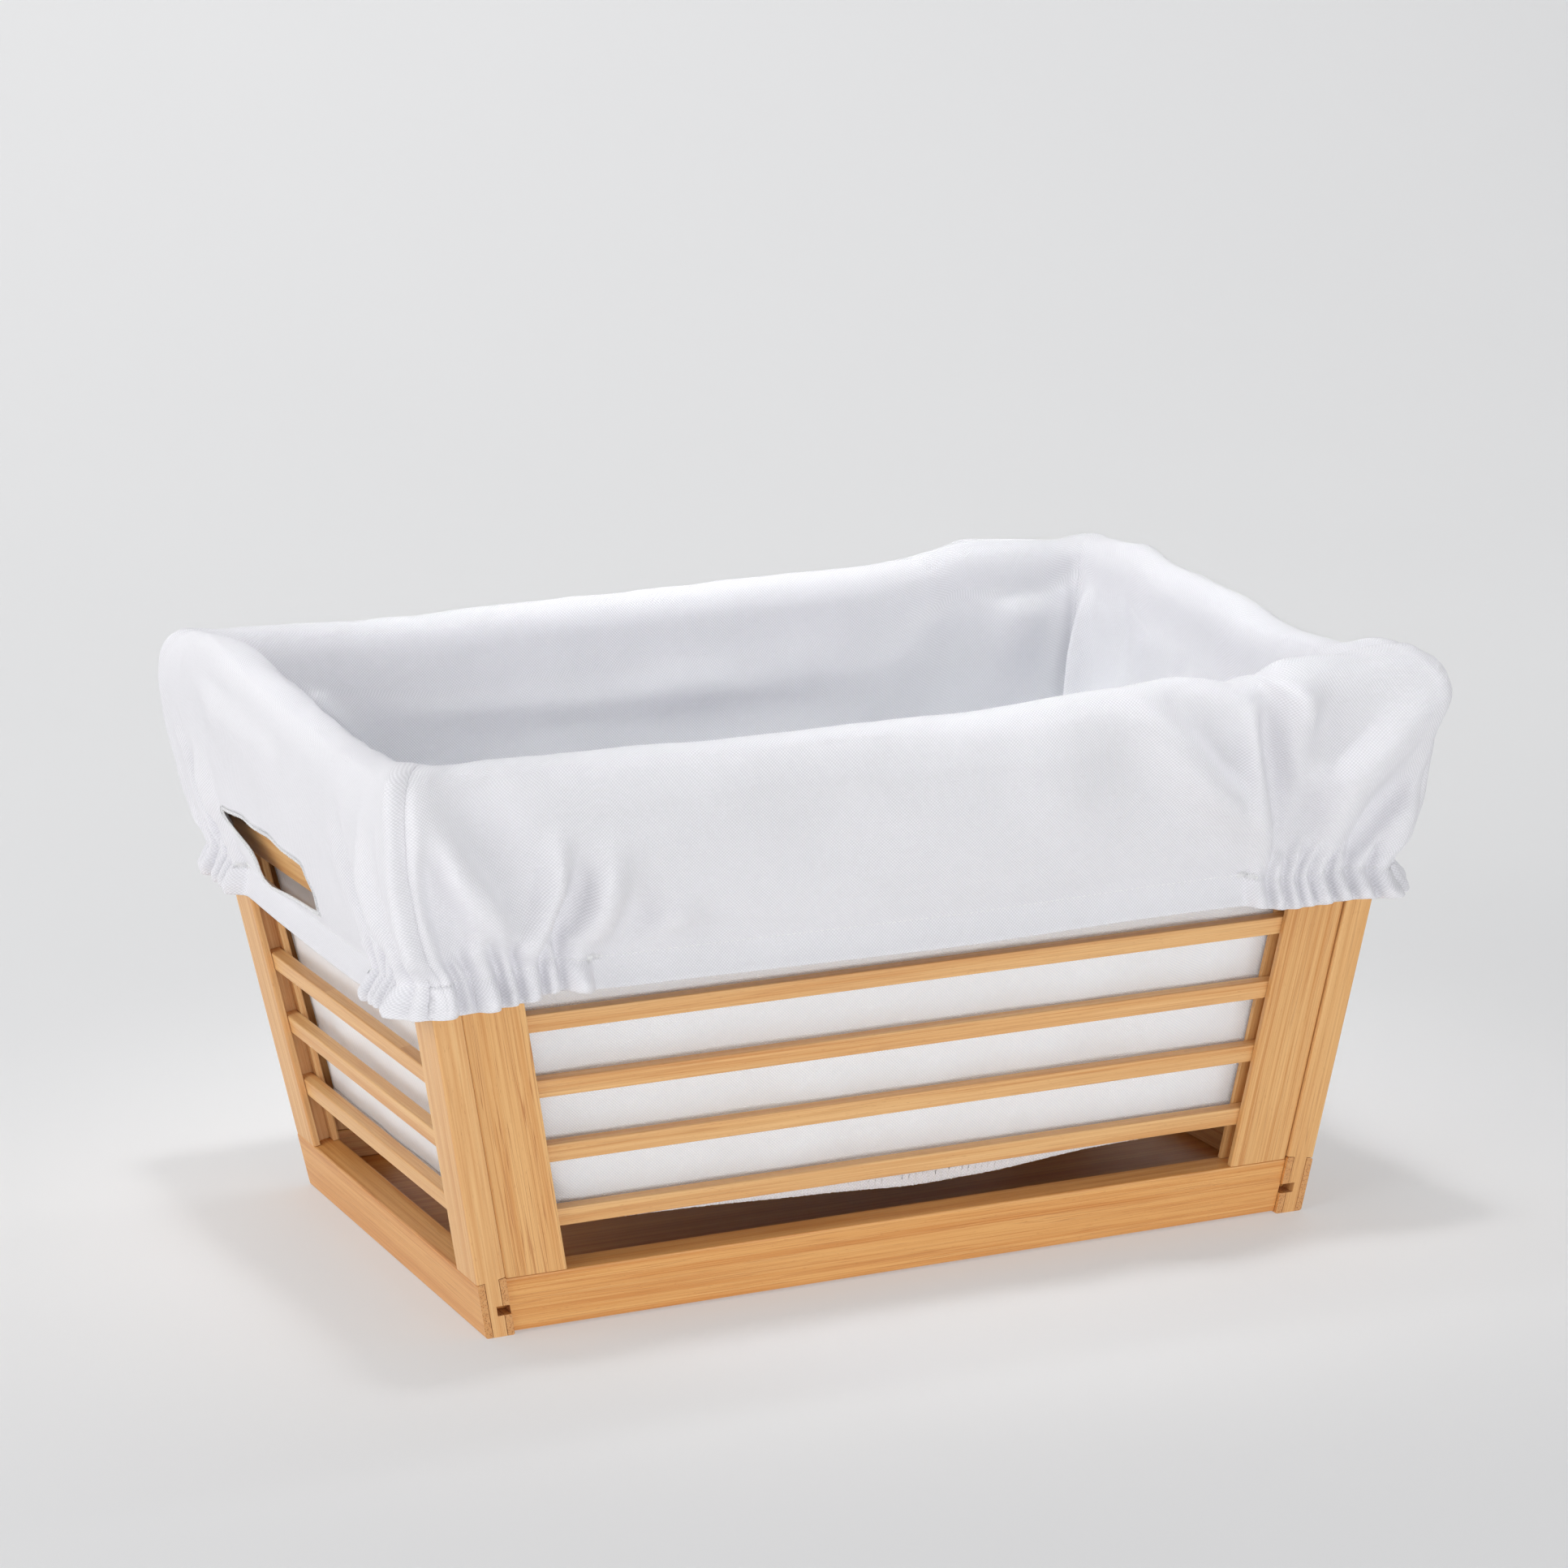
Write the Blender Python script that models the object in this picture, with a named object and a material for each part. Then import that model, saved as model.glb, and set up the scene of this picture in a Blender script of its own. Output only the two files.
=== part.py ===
"""Storage basket of solid bamboo bars with a removable fabric liner.

Frame: metres, +Z up, +X along the long side, origin at the middle of the base, on the floor.
Two end panels run through from front to back. The two long panels stand between them. All four
lean outwards. Each panel is a frame of two stiles and two rails, with thin slats let into a
groove in the stiles. The bottom board is held in a groove in the four bottom rails. The liner is
a five-sided bag that hangs from the rim, with a skirt turned down over the outside.
"""

import math

import bmesh
import bpy
import numpy as np

MM = 0.001

# --- overall size, mm -------------------------------------------------------------------------
BASE_LENGTH = 440.0      # outside, over the end panels, on the floor
BASE_WIDTH = 280.0       # outside, over the edges of the end panels, on the floor
LEAN_END = 0.169         # outward lean of the end panels, run over rise
LEAN_LONG = 0.145        # outward lean of the long panels
TOP_END = 282.0          # height of the end panels
TOP_LONG = 281.0         # height of the long panels
RAISE_LONG = 1.0         # the long panels stop this far above the floor
RECESS = 2.2             # long panels sit this far behind the end panels' edges

# --- stock ------------------------------------------------------------------------------------
THICK = 14.5             # frame stock
STILE_END = 30.0         # width of the end panels' stiles
STILE_LONG = 31.0
RAIL = 28.0              # height of the bottom rails and of the grip rails
RAIL_TOP_LONG = 37.0     # height of the long panels' top rails
SLAT_H = 9.0
ROUND = 1.0              # rounded arrises
ROUND_SLAT = 0.8
GAP = 0.3                # clearance between neighbouring pieces

# --- joints -----------------------------------------------------------------------------------
GROOVE_W = 7.6           # groove in the stiles' inner edges, in the middle of the thickness
GROOVE_D = 8.0
G0 = (THICK - GROOVE_W) / 2
G1 = (THICK + GROOVE_W) / 2
T0 = G0 + GAP            # faces of every tongue, tenon and slat
T1 = G1 - GAP
TONGUE = GROOVE_D - GAP
TENON_LONG = 10.0        # stub tenons of the long panels' stiles
HAUNCH = 5.0

BOARD_Z = (11.0, 16.0)   # groove for the bottom board
BOARD_D = 7.0

DOWEL_R = 3.0
DOWEL_OUT = 9.5          # into the end panel
DOWEL_IN = 18.5          # into the long panel
DOWEL_Z = (70.0, 215.0)

# --- slats: height of their upper faces --------------------------------------------------------
SLATS_LONG = [59.2 + 33.5 * k for k in range(6)]
SLATS_END = [63.4 + 33.4 * k for k in range(4)]
MID_RAIL = (191.0, 206.0)    # lower edge of the hand opening

# --- liner ------------------------------------------------------------------------------------
CLOTH = 1.6
BAG_CLEAR = 3.0
BAG_FLOOR = 41.0
RIM_Z = 287.0
HEM_Z = 170.0
BULGE_Z = 228.0
SHOULDER_Z = 280.0
HEM_OUT = 5.0
BULGE_OUT = 12.0
SHOULDER_OUT = 2.5
HOLE_Z = (190.0, 224.0)
HOLE_HALF = 66.0
ELASTIC_OUT = (2.6, 3.6)
ELASTIC_Z = (172.5, 178.5)
ELASTIC_LONG = 92.0
ELASTIC_END = 70.0

TURN_SIDES = 16


# --- planes: (outward unit normal, distance), all in mm ---------------------------------------
def plane(normal, point):
    n = np.asarray(normal, float)
    n = n / np.linalg.norm(n)
    return n, float(n @ np.asarray(point, float))


def flip(p):
    return -p[0], -p[1]


def above(z):
    """The plane that closes a piece at height z from above."""
    return plane((0, 0, 1), (0, 0, z))


def below(z):
    return plane((0, 0, -1), (0, 0, z))


def meet(a, b, c):
    return np.linalg.solve(np.array([a[0], b[0], c[0]]), np.array([a[1], b[1], c[1]]))


class Panel:
    """A leaning panel: w runs inwards from its outer face, heights are taken on that face."""

    def __init__(self, normal, foot, along, half):
        self.n = np.asarray(normal, float)
        self.n /= np.linalg.norm(self.n)
        self.u = np.asarray(along, float)
        self.v = np.cross(self.n, self.u)
        if self.v[2] < 0:
            self.v = -self.v
        self.foot = np.asarray(foot, float)
        self.half = half

    def face(self, w):
        return plane(self.n, self.foot - self.n * w)

    def level(self, z):
        return plane(self.v, self.foot + self.v * (z / self.v[2]))

    def spot(self, out, z):
        """Point on the panel's middle line, this far outside its face."""
        return self.foot + self.v * (z / self.v[2]) + self.n * out


def end_panel(sx):
    return Panel((sx, 0, -LEAN_END), (sx * BASE_LENGTH / 2, 0, 0), (0, 1, 0), BASE_WIDTH / 2)


def long_panel(sy, recess=RECESS):
    return Panel((0, sy, -LEAN_LONG), (0, sy * (BASE_WIDTH / 2 - recess), 0), (1, 0, 0), BASE_LENGTH / 2)


def end_edge(sx, sy, off):
    """Side edge of an end panel, cut square to its face, moved inwards by off."""
    pan = end_panel(sx)
    run = np.array((sx * LEAN_END, sy * LEAN_LONG, 1.0))
    m = np.cross(pan.n, run)
    if m[1] * sy < 0:
        m = -m
    m = m / np.linalg.norm(m)
    return plane(m, np.array((sx * BASE_LENGTH / 2, sy * BASE_WIDTH / 2, 0.0)) - m * off)


def long_end(sx, off):
    """Where a long panel butts against an end panel's inner face."""
    return end_panel(sx).face(THICK + off)


def long_edge(sx, sy, off):
    """Inner edge of a long panel's stile, cut square to its face."""
    pan = long_panel(sy)
    start = meet(pan.face(0), long_end(sx, GAP), above(0))
    run = np.array((sx * LEAN_END, sy * LEAN_LONG, 1.0))
    m = np.cross(pan.n, run)
    if m[0] * sx < 0:
        m = -m
    m = m / np.linalg.norm(m)
    return plane(m, start - m * off)


# --- meshes -----------------------------------------------------------------------------------
def prism_mesh(sides, ends, rounding=0.0):
    """Six-faced bar from four side planes, in order, and two end planes."""
    bm = bmesh.new()
    rings = []
    for end in ends:
        ring = [bm.verts.new(meet(sides[i], sides[(i + 1) % 4], end) * MM) for i in range(4)]
        rings.append(ring)
    a, b = rings
    bm.faces.new(a)
    bm.faces.new(b[::-1])
    for i in range(4):
        bm.faces.new((a[(i + 1) % 4], a[i], b[i], b[(i + 1) % 4]))
    bmesh.ops.recalc_face_normals(bm, faces=bm.faces)
    if rounding:
        long_edges = [e for e in bm.edges for i in range(4) if set(e.verts) == {a[i], b[i]}]
        bmesh.ops.bevel(bm, geom=long_edges, offset=rounding * MM, segments=2, profile=0.5,
                        affect="EDGES", clamp_overlap=True)
    mesh = bpy.data.meshes.new("bar")
    bm.to_mesh(mesh)
    bm.free()
    return mesh


def turned_mesh(centre, axis, r, lo, hi):
    """Straight pin along axis, from lo to hi, measured from centre."""
    axis = np.asarray(axis, float)
    axis /= np.linalg.norm(axis)
    side = np.cross(axis, (0.0, 0.0, 1.0))
    side /= np.linalg.norm(side)
    other = np.cross(axis, side)
    bm = bmesh.new()
    rings = []
    for t in (lo, hi):
        ring = []
        for k in range(TURN_SIDES):
            a = 2 * math.pi * k / TURN_SIDES
            p = centre + axis * t + (side * math.cos(a) + other * math.sin(a)) * r
            ring.append(bm.verts.new(p * MM))
        rings.append(ring)
    a, b = rings
    bm.faces.new(a)
    bm.faces.new(b[::-1])
    for k in range(TURN_SIDES):
        j = (k + 1) % TURN_SIDES
        bm.faces.new((a[j], a[k], b[k], b[j]))
    bmesh.ops.recalc_face_normals(bm, faces=bm.faces)
    mesh = bpy.data.meshes.new("pin")
    bm.to_mesh(mesh)
    bm.free()
    return mesh


def polygon_mesh(lower, upper):
    """Closed solid between two outlines with the same number of points."""
    bm = bmesh.new()
    a = [bm.verts.new(p * MM) for p in lower]
    b = [bm.verts.new(p * MM) for p in upper]
    n = len(a)
    bm.faces.new(a)
    bm.faces.new(b[::-1])
    for k in range(n):
        j = (k + 1) % n
        bm.faces.new((a[j], a[k], b[k], b[j]))
    bmesh.ops.recalc_face_normals(bm, faces=bm.faces)
    mesh = bpy.data.meshes.new("sheet")
    bm.to_mesh(mesh)
    bm.free()
    return mesh


def carve(mesh, cutters, additions=()):
    """Joins the additions to the mesh, then takes each cutter's volume out of it."""
    body = bpy.data.objects.new("blank", mesh)
    bpy.context.scene.collection.objects.link(body)
    tools = []
    jobs = [("UNION", m) for m in additions] + [("DIFFERENCE", m) for m in cutters]
    for k, (operation, tool_mesh) in enumerate(jobs):
        tool = bpy.data.objects.new("tool_%d" % k, tool_mesh)
        tool.hide_render = True
        tool.display_type = "WIRE"
        bpy.context.scene.collection.objects.link(tool)
        mod = body.modifiers.new("step_%d" % k, "BOOLEAN")
        mod.operation = operation
        mod.solver = "EXACT"
        mod.object = tool
        tools.append(tool)
    bpy.context.view_layer.update()
    graph = bpy.context.evaluated_depsgraph_get()
    result = bpy.data.meshes.new_from_object(body.evaluated_get(graph))
    for ob in [body] + tools:
        bpy.data.objects.remove(ob, do_unlink=True)
    return result


# --- objects ----------------------------------------------------------------------------------
WOOD = (0.62, 0.36, 0.16)
WOOD_PALE = (0.72, 0.46, 0.22)
CLOTH_WHITE = (0.88, 0.88, 0.90)
RUBBER_WHITE = (0.80, 0.80, 0.78)


def finish_material(name, colour, rough):
    mat = bpy.data.materials.new(name + "_finish")
    mat.use_nodes = True
    shader = mat.node_tree.nodes["Principled BSDF"]
    shader.inputs["Base Color"].default_value = (*colour, 1.0)
    shader.inputs["Roughness"].default_value = rough
    shader.inputs["Metallic"].default_value = 0.0
    return mat


def place(name, mesh, parent, colour, rough):
    """Names the piece, puts its origin at its middle and hangs it on its parent."""
    co = np.empty(len(mesh.vertices) * 3)
    mesh.vertices.foreach_get("co", co)
    co = co.reshape(-1, 3)
    middle = (co.min(0) + co.max(0)) / 2
    mesh.vertices.foreach_set("co", (co - middle).ravel())
    mesh.name = name
    mesh.materials.clear()
    mesh.materials.append(finish_material(name, colour, rough))
    ob = bpy.data.objects.new(name, mesh)
    ob.location = middle
    ob.parent = parent
    bpy.context.scene.collection.objects.link(ob)
    return ob


def empty(name):
    ob = bpy.data.objects.new(name, None)
    bpy.context.scene.collection.objects.link(ob)
    return ob


def wood(name, mesh, parent, pale=False):
    return place(name, mesh, parent, WOOD_PALE if pale else WOOD, 0.45)


# --- wood -------------------------------------------------------------------------------------
def board_groove(pan, low, high):
    """Cutter for the bottom board's groove, along the whole inner face of a panel."""
    return prism_mesh([pan.face(THICK - BOARD_D), above(BOARD_Z[1]), flip(pan.face(THICK + 5)), below(BOARD_Z[0])],
                      [low, high])


def dowel_line(sx, sy, z):
    """Centre on the joint face and direction of a corner dowel."""
    pan = long_panel(sy)
    centre = meet(pan.face(THICK / 2), end_panel(sx).face(THICK), above(z))
    return centre, end_panel(sx).n


def build_end(sx, side, parent):
    pan = end_panel(sx)
    front, back = end_edge(sx, -1, 0), end_edge(sx, 1, 0)
    rail_low, rail_high = RAIL, TOP_END - RAIL

    # Stiles: grooved along their inner edge, with a full-height tenon in each forked rail.
    for sy, where in ((-1, "front"), (1, "back")):
        blank = prism_mesh([pan.face(0), end_edge(sx, sy, 0), flip(pan.face(THICK)), flip(end_edge(sx, sy, STILE_END))],
                           [above(TOP_END), below(0)], ROUND)
        out_edge, in_edge = end_edge(sx, sy, -5), flip(end_edge(sx, sy, STILE_END + 5))
        cutters = [prism_mesh([pan.face(G0), end_edge(sx, sy, STILE_END - GROOVE_D), flip(pan.face(G1)), in_edge],
                              [above(TOP_END + 5), below(-5)])]
        for lo, hi in ((-20, rail_low + GAP), (rail_high - GAP, TOP_END + 20)):
            for w0, w1 in ((-5, T0), (T1, THICK + 5)):
                cutters.append(prism_mesh([pan.face(w0), out_edge, flip(pan.face(w1)), in_edge],
                                          [pan.level(hi), flip(pan.level(lo))]))
        cutters.append(board_groove(pan, out_edge, in_edge))
        for z in DOWEL_Z:
            centre, axis = dowel_line(sx, sy, z)
            cutters.append(turned_mesh(centre, axis, DOWEL_R + GAP, -3.0, DOWEL_OUT + GAP))
        wood("%s_%s_stile" % (side, where), carve(blank, cutters), parent)

    # Rails: forked ends around the stiles' tenons.
    def forks(lo, hi):
        return [prism_mesh([pan.face(G0), end_edge(sx, sy, -5), flip(pan.face(G1)),
                            flip(end_edge(sx, sy, STILE_END - GROOVE_D + GAP))],
                           [pan.level(hi), flip(pan.level(lo))]) for sy in (-1, 1)]

    blank = prism_mesh([pan.face(0), pan.level(rail_low), flip(pan.face(THICK)), below(0)], [front, back], ROUND)
    groove = board_groove(pan, end_edge(sx, -1, -5), end_edge(sx, 1, -5))
    wood("%s_bottom_rail" % side, carve(blank, forks(-20, rail_low + 20) + [groove]), parent)
    blank = prism_mesh([pan.face(0), above(TOP_END), flip(pan.face(THICK)), flip(pan.level(rail_high))],
                       [front, back], ROUND)
    wood("%s_grip_rail" % side, carve(blank, forks(rail_high - 20, TOP_END + 20)), parent)

    # Middle rail under the hand opening, tongued into the stiles' grooves.
    reach = STILE_END - TONGUE
    blank = prism_mesh([pan.face(0), pan.level(MID_RAIL[1]), flip(pan.face(THICK)), flip(pan.level(MID_RAIL[0]))],
                       [end_edge(sx, -1, reach), end_edge(sx, 1, reach)], ROUND)
    cutters = []
    for sy in (-1, 1):
        for w0, w1 in ((-5, T0), (T1, THICK + 5)):
            cutters.append(prism_mesh([pan.face(w0), end_edge(sx, sy, 10), flip(pan.face(w1)),
                                       flip(end_edge(sx, sy, STILE_END + GAP))],
                                      [pan.level(MID_RAIL[1] + 20), flip(pan.level(MID_RAIL[0] - 20))]))
    wood("%s_middle_rail" % side, carve(blank, cutters), parent)

    for k, z in enumerate(SLATS_END):
        slat = prism_mesh([pan.face(T0), pan.level(z), flip(pan.face(T1)), flip(pan.level(z - SLAT_H))],
                          [end_edge(sx, -1, reach), end_edge(sx, 1, reach)], ROUND_SLAT)
        wood("%s_slat_%d" % (side, k + 1), slat, parent, pale=True)


def build_long(sy, side, parent):
    pan = long_panel(sy)
    rail_low, rail_high = RAIL + RAISE_LONG, TOP_LONG - RAIL_TOP_LONG
    ends = [long_end(-1, GAP), long_end(1, GAP)]

    # Stiles: their shoulders stand on the rails, and a stub tenon enters a mortise in each.
    for sx, where in ((-1, "left"), (1, "right")):
        solid = STILE_LONG - GROOVE_D
        blank = prism_mesh([pan.face(0), long_end(sx, GAP), flip(pan.face(THICK)), flip(long_edge(sx, sy, STILE_LONG))],
                           [pan.level(rail_high - GAP), flip(pan.level(rail_low + GAP))], ROUND)
        tenons = [prism_mesh([pan.face(T0), long_edge(sx, sy, HAUNCH), flip(pan.face(T1)), flip(long_edge(sx, sy, solid + 3))],
                             [pan.level(hi), flip(pan.level(lo))])
                  for lo, hi in ((rail_low + GAP - TENON_LONG, rail_low + 12), (rail_high - 12, rail_high - GAP + TENON_LONG))]
        in_edge = flip(long_edge(sx, sy, STILE_LONG + 5))
        cutters = [prism_mesh([pan.face(G0), long_edge(sx, sy, solid), flip(pan.face(G1)), in_edge],
                              [above(TOP_LONG + 20), below(-20)])]
        for z in DOWEL_Z:
            centre, axis = dowel_line(sx, sy, z)
            cutters.append(turned_mesh(centre, axis, DOWEL_R + GAP, -(DOWEL_IN + GAP), 3.0))
        wood("%s_%s_stile" % (side, where), carve(blank, cutters, tenons), parent)

    def mortises(lo, hi):
        solid = STILE_LONG - GROOVE_D
        return [prism_mesh([pan.face(G0), long_edge(sx, sy, HAUNCH - GAP), flip(pan.face(G1)),
                            flip(long_edge(sx, sy, solid + GAP))],
                           [pan.level(hi), flip(pan.level(lo))]) for sx in (-1, 1)]

    blank = prism_mesh([pan.face(0), pan.level(rail_low), flip(pan.face(THICK)), below(RAISE_LONG)], ends, ROUND)
    groove = board_groove(pan, long_end(-1, -10), long_end(1, -10))
    wood("%s_bottom_rail" % side, carve(blank, mortises(rail_low - TENON_LONG, rail_low + 10) + [groove]), parent)
    blank = prism_mesh([pan.face(0), above(TOP_LONG), flip(pan.face(THICK)), flip(pan.level(rail_high))], ends, ROUND)
    wood("%s_top_rail" % side, carve(blank, mortises(rail_high - 10, rail_high + TENON_LONG)), parent)

    reach = STILE_LONG - TONGUE
    for k, z in enumerate(SLATS_LONG):
        slat = prism_mesh([pan.face(T0), pan.level(z), flip(pan.face(T1)), flip(pan.level(z - SLAT_H))],
                          [long_edge(-1, sy, reach), long_edge(1, sy, reach)], ROUND_SLAT)
        wood("%s_slat_%d" % (side, k + 1), slat, parent, pale=True)


def build_board(parent):
    z0, z1 = BOARD_Z[0] + GAP, BOARD_Z[1] - GAP
    depth = THICK - BOARD_D + GAP
    x = meet(end_panel(1).face(depth), plane((0, 1, 0), (0, 0, 0)), above(z0))[0]
    y = meet(long_panel(1).face(depth), plane((1, 0, 0), (0, 0, 0)), above(z0))[1]
    sides = [plane((1, 0, 0), (x, 0, 0)), plane((0, 1, 0), (0, y, 0)),
             plane((-1, 0, 0), (-x, 0, 0)), plane((0, -1, 0), (0, -y, 0))]
    wood("bottom_board", prism_mesh(sides, [above(z1), below(z0)]), parent)


def build_dowels(parent):
    for sx, end in ((-1, "left"), (1, "right")):
        for sy, side in ((-1, "front"), (1, "back")):
            for z, where in zip(DOWEL_Z, ("low", "high")):
                centre, axis = dowel_line(sx, sy, z)
                pin = turned_mesh(centre, axis, DOWEL_R, -DOWEL_IN, DOWEL_OUT)
                wood("dowel_%s_%s_%s" % (side, end, where), pin, parent, pale=True)


# --- liner ------------------------------------------------------------------------------------
def cloth(name, mesh, parent):
    return place(name, mesh, parent, CLOTH_WHITE, 0.85)


def build_bag(parent):
    w0, w1 = THICK + BAG_CLEAR, THICK + BAG_CLEAR + CLOTH
    low, high = BAG_FLOOR + CLOTH + GAP, RIM_Z - GAP
    for sy, side in ((-1, "front"), (1, "back")):
        pan = long_panel(sy)
        mesh = prism_mesh([pan.face(w0), above(high), flip(pan.face(w1)), below(low)],
                          [end_panel(-1).face(w0), end_panel(1).face(w0)])
        cloth("bag_%s" % side, mesh, parent)
    for sx, side in ((-1, "left"), (1, "right")):
        pan = end_panel(sx)
        mesh = prism_mesh([pan.face(w0), above(high), flip(pan.face(w1)), below(low)],
                          [long_panel(-1).face(w1 + GAP), long_panel(1).face(w1 + GAP)])
        cloth("bag_%s" % side, mesh, parent)
    mesh = prism_mesh([end_panel(1).face(w0), long_panel(1).face(w0), end_panel(-1).face(w0), long_panel(-1).face(w0)],
                      [above(BAG_FLOOR + CLOTH), below(BAG_FLOOR)])
    cloth("bag_bottom", mesh, parent)


def mitre(sx, sy, towards):
    """Upright corner plane between two skirt panels; towards is a point on the kept side."""
    run = np.array((sx * LEAN_END, sy * LEAN_LONG, 1.0))
    n = np.cross(run, (sx, sy, 0.0))
    n /= np.linalg.norm(n)
    corner = np.array((sx * BASE_LENGTH / 2, sy * BASE_WIDTH / 2, 0.0))
    if (np.asarray(towards, float) - corner) @ n > 0:
        n = -n
    return plane(n, corner - n * GAP / 2)


def skirt_profile(pan):
    """Cross-section of the turned-down rim: over the panel's top and down its outside."""
    inside = [(HEM_OUT, HEM_Z), (BULGE_OUT, BULGE_Z), (SHOULDER_OUT, SHOULDER_Z)]
    points = [pan.spot(o, z) for o, z in inside]
    rim_low, rim_high = above(RIM_Z), above(RIM_Z + CLOTH)
    across = plane(pan.u, (0, 0, 0))
    inner = flip(pan.face(THICK + BAG_CLEAR + CLOTH))
    points.append(meet(pan.face(-SHOULDER_OUT), rim_low, across))
    points.append(meet(inner, rim_low, across))
    points.append(meet(inner, rim_high, across))
    points.append(meet(pan.face(-SHOULDER_OUT - CLOTH), rim_high, across))
    points += [pan.spot(o + CLOTH, z) for o, z in reversed(inside)]
    return points


def build_skirt(parent):
    panels = [("front", long_panel(-1, 0.0), ((-1, -1), (1, -1)), (0, -BASE_WIDTH / 2, 0)),
              ("back", long_panel(1, 0.0), ((-1, 1), (1, 1)), (0, BASE_WIDTH / 2, 0)),
              ("left", end_panel(-1), ((-1, -1), (-1, 1)), (-BASE_LENGTH / 2, 0, 0)),
              ("right", end_panel(1), ((1, -1), (1, 1)), (BASE_LENGTH / 2, 0, 0))]
    for side, pan, corners, middle in panels:
        outline = skirt_profile(pan)
        rings = []
        for sx, sy in corners:
            n, d = mitre(sx, sy, middle)
            rings.append([p + pan.u * ((d - n @ p) / (n @ pan.u)) for p in outline])
        mesh = polygon_mesh(rings[0], rings[1])
        if side in ("left", "right"):
            # Hand hole: a slot with round ends, straight through the cloth.
            z0, z1 = HOLE_Z
            r = (z1 - z0) / 2
            zc, steps, loop = (z0 + z1) / 2, 8, []
            for k in range(steps + 1):
                a = -math.pi / 2 + math.pi * k / steps
                loop.append((HOLE_HALF - r + r * math.cos(a), zc + r * math.sin(a)))
            for k in range(steps + 1):
                a = math.pi / 2 + math.pi * k / steps
                loop.append((-HOLE_HALF + r + r * math.cos(a), zc + r * math.sin(a)))
            sx = -1 if side == "left" else 1
            near, far = sx * (BASE_LENGTH / 2 + 20), sx * (BASE_LENGTH / 2 + 90)
            tool = polygon_mesh([np.array((near, y, z)) for y, z in loop], [np.array((far, y, z)) for y, z in loop])
            mesh = carve(mesh, [tool])
        cloth("skirt_%s" % side, mesh, parent)


def build_elastics(parent):
    for sx, end in ((-1, "left"), (1, "right")):
        for sy, side in ((-1, "front"), (1, "back")):
            across, along = end_panel(sx), long_panel(sy, 0.0)
            o0, o1 = ELASTIC_OUT
            stop_x = plane((1, 0, 0), (sx * (BASE_LENGTH / 2 + 30 - ELASTIC_LONG), 0, 0))
            stop_y = plane((0, 1, 0), (0, sy * (BASE_WIDTH / 2 + 25 - ELASTIC_END), 0))
            rings = []
            for z in ELASTIC_Z:
                lid = above(z)
                rings.append([meet(along.face(-o1), stop_x, lid), meet(along.face(-o1), across.face(-o1), lid),
                              meet(across.face(-o1), stop_y, lid), meet(across.face(-o0), stop_y, lid),
                              meet(along.face(-o0), across.face(-o0), lid), meet(along.face(-o0), stop_x, lid)])
            place("elastic_%s_%s" % (side, end), polygon_mesh(rings[0], rings[1]), parent, RUBBER_WHITE, 0.7)


def main():
    for ob in list(bpy.data.objects):
        bpy.data.objects.remove(ob, do_unlink=True)
    basket, liner = empty("basket_frame"), empty("liner_frame")
    build_end(-1, "left", basket)
    build_end(1, "right", basket)
    build_long(-1, "front", basket)
    build_long(1, "back", basket)
    build_board(basket)
    build_dowels(basket)
    build_bag(liner)
    build_skirt(liner)
    build_elastics(liner)
    for ob in bpy.data.objects:
        if ob.type == "MESH" and ob.name.startswith("dowel"):
            ob.data.shade_smooth()
            ob.data.set_sharp_from_angle(angle=math.radians(35))


main()
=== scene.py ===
"""Looks of the bamboo storage basket: bamboo finish, sewn fabric liner, studio and camera.

Lengths in the tables are millimetres unless a name ends in _M. The frame is the CAD's: metres, +Z up,
+X along the long side, origin at the middle of the base.
"""

import math

import bmesh
import bpy
import numpy as np
from mathutils import Matrix, Vector


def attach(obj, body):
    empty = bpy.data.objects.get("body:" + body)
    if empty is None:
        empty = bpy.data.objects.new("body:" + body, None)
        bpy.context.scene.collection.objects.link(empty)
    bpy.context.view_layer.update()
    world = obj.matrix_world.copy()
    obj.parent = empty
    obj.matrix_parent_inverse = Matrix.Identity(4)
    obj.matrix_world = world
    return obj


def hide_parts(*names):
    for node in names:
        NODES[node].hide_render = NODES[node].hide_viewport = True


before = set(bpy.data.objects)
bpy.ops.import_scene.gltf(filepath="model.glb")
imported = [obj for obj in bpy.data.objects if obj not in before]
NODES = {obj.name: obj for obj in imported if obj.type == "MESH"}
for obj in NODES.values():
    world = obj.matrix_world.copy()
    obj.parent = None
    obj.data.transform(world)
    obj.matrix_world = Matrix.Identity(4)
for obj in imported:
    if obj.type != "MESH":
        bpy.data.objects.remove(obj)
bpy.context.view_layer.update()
MM = 0.001

# --- camera -------------------------------------------------------------------------------------
AZIMUTH, ELEVATION, ROLL = -0.394418, 0.214175, -0.0258993
DISTANCE = 2.391085
TARGET = np.array((-0.003666, -0.005878, 0.221113))
FOCAL_PX, FRAME_PX = 5798.854, 1932.0


def camera_axes():
    back = np.array((math.sin(AZIMUTH) * math.cos(ELEVATION), -math.cos(AZIMUTH) * math.cos(ELEVATION),
                     math.sin(ELEVATION)))
    across = np.cross((0, 0, 1), back)
    across /= np.linalg.norm(across)
    up = np.cross(back, across)
    c, s = math.cos(ROLL), math.sin(ROLL)
    return across * c + up * s, up * c - across * s, back


CAM_X, CAM_Y, CAM_Z = camera_axes()
CAM_AT = TARGET + CAM_Z * DISTANCE


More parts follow.
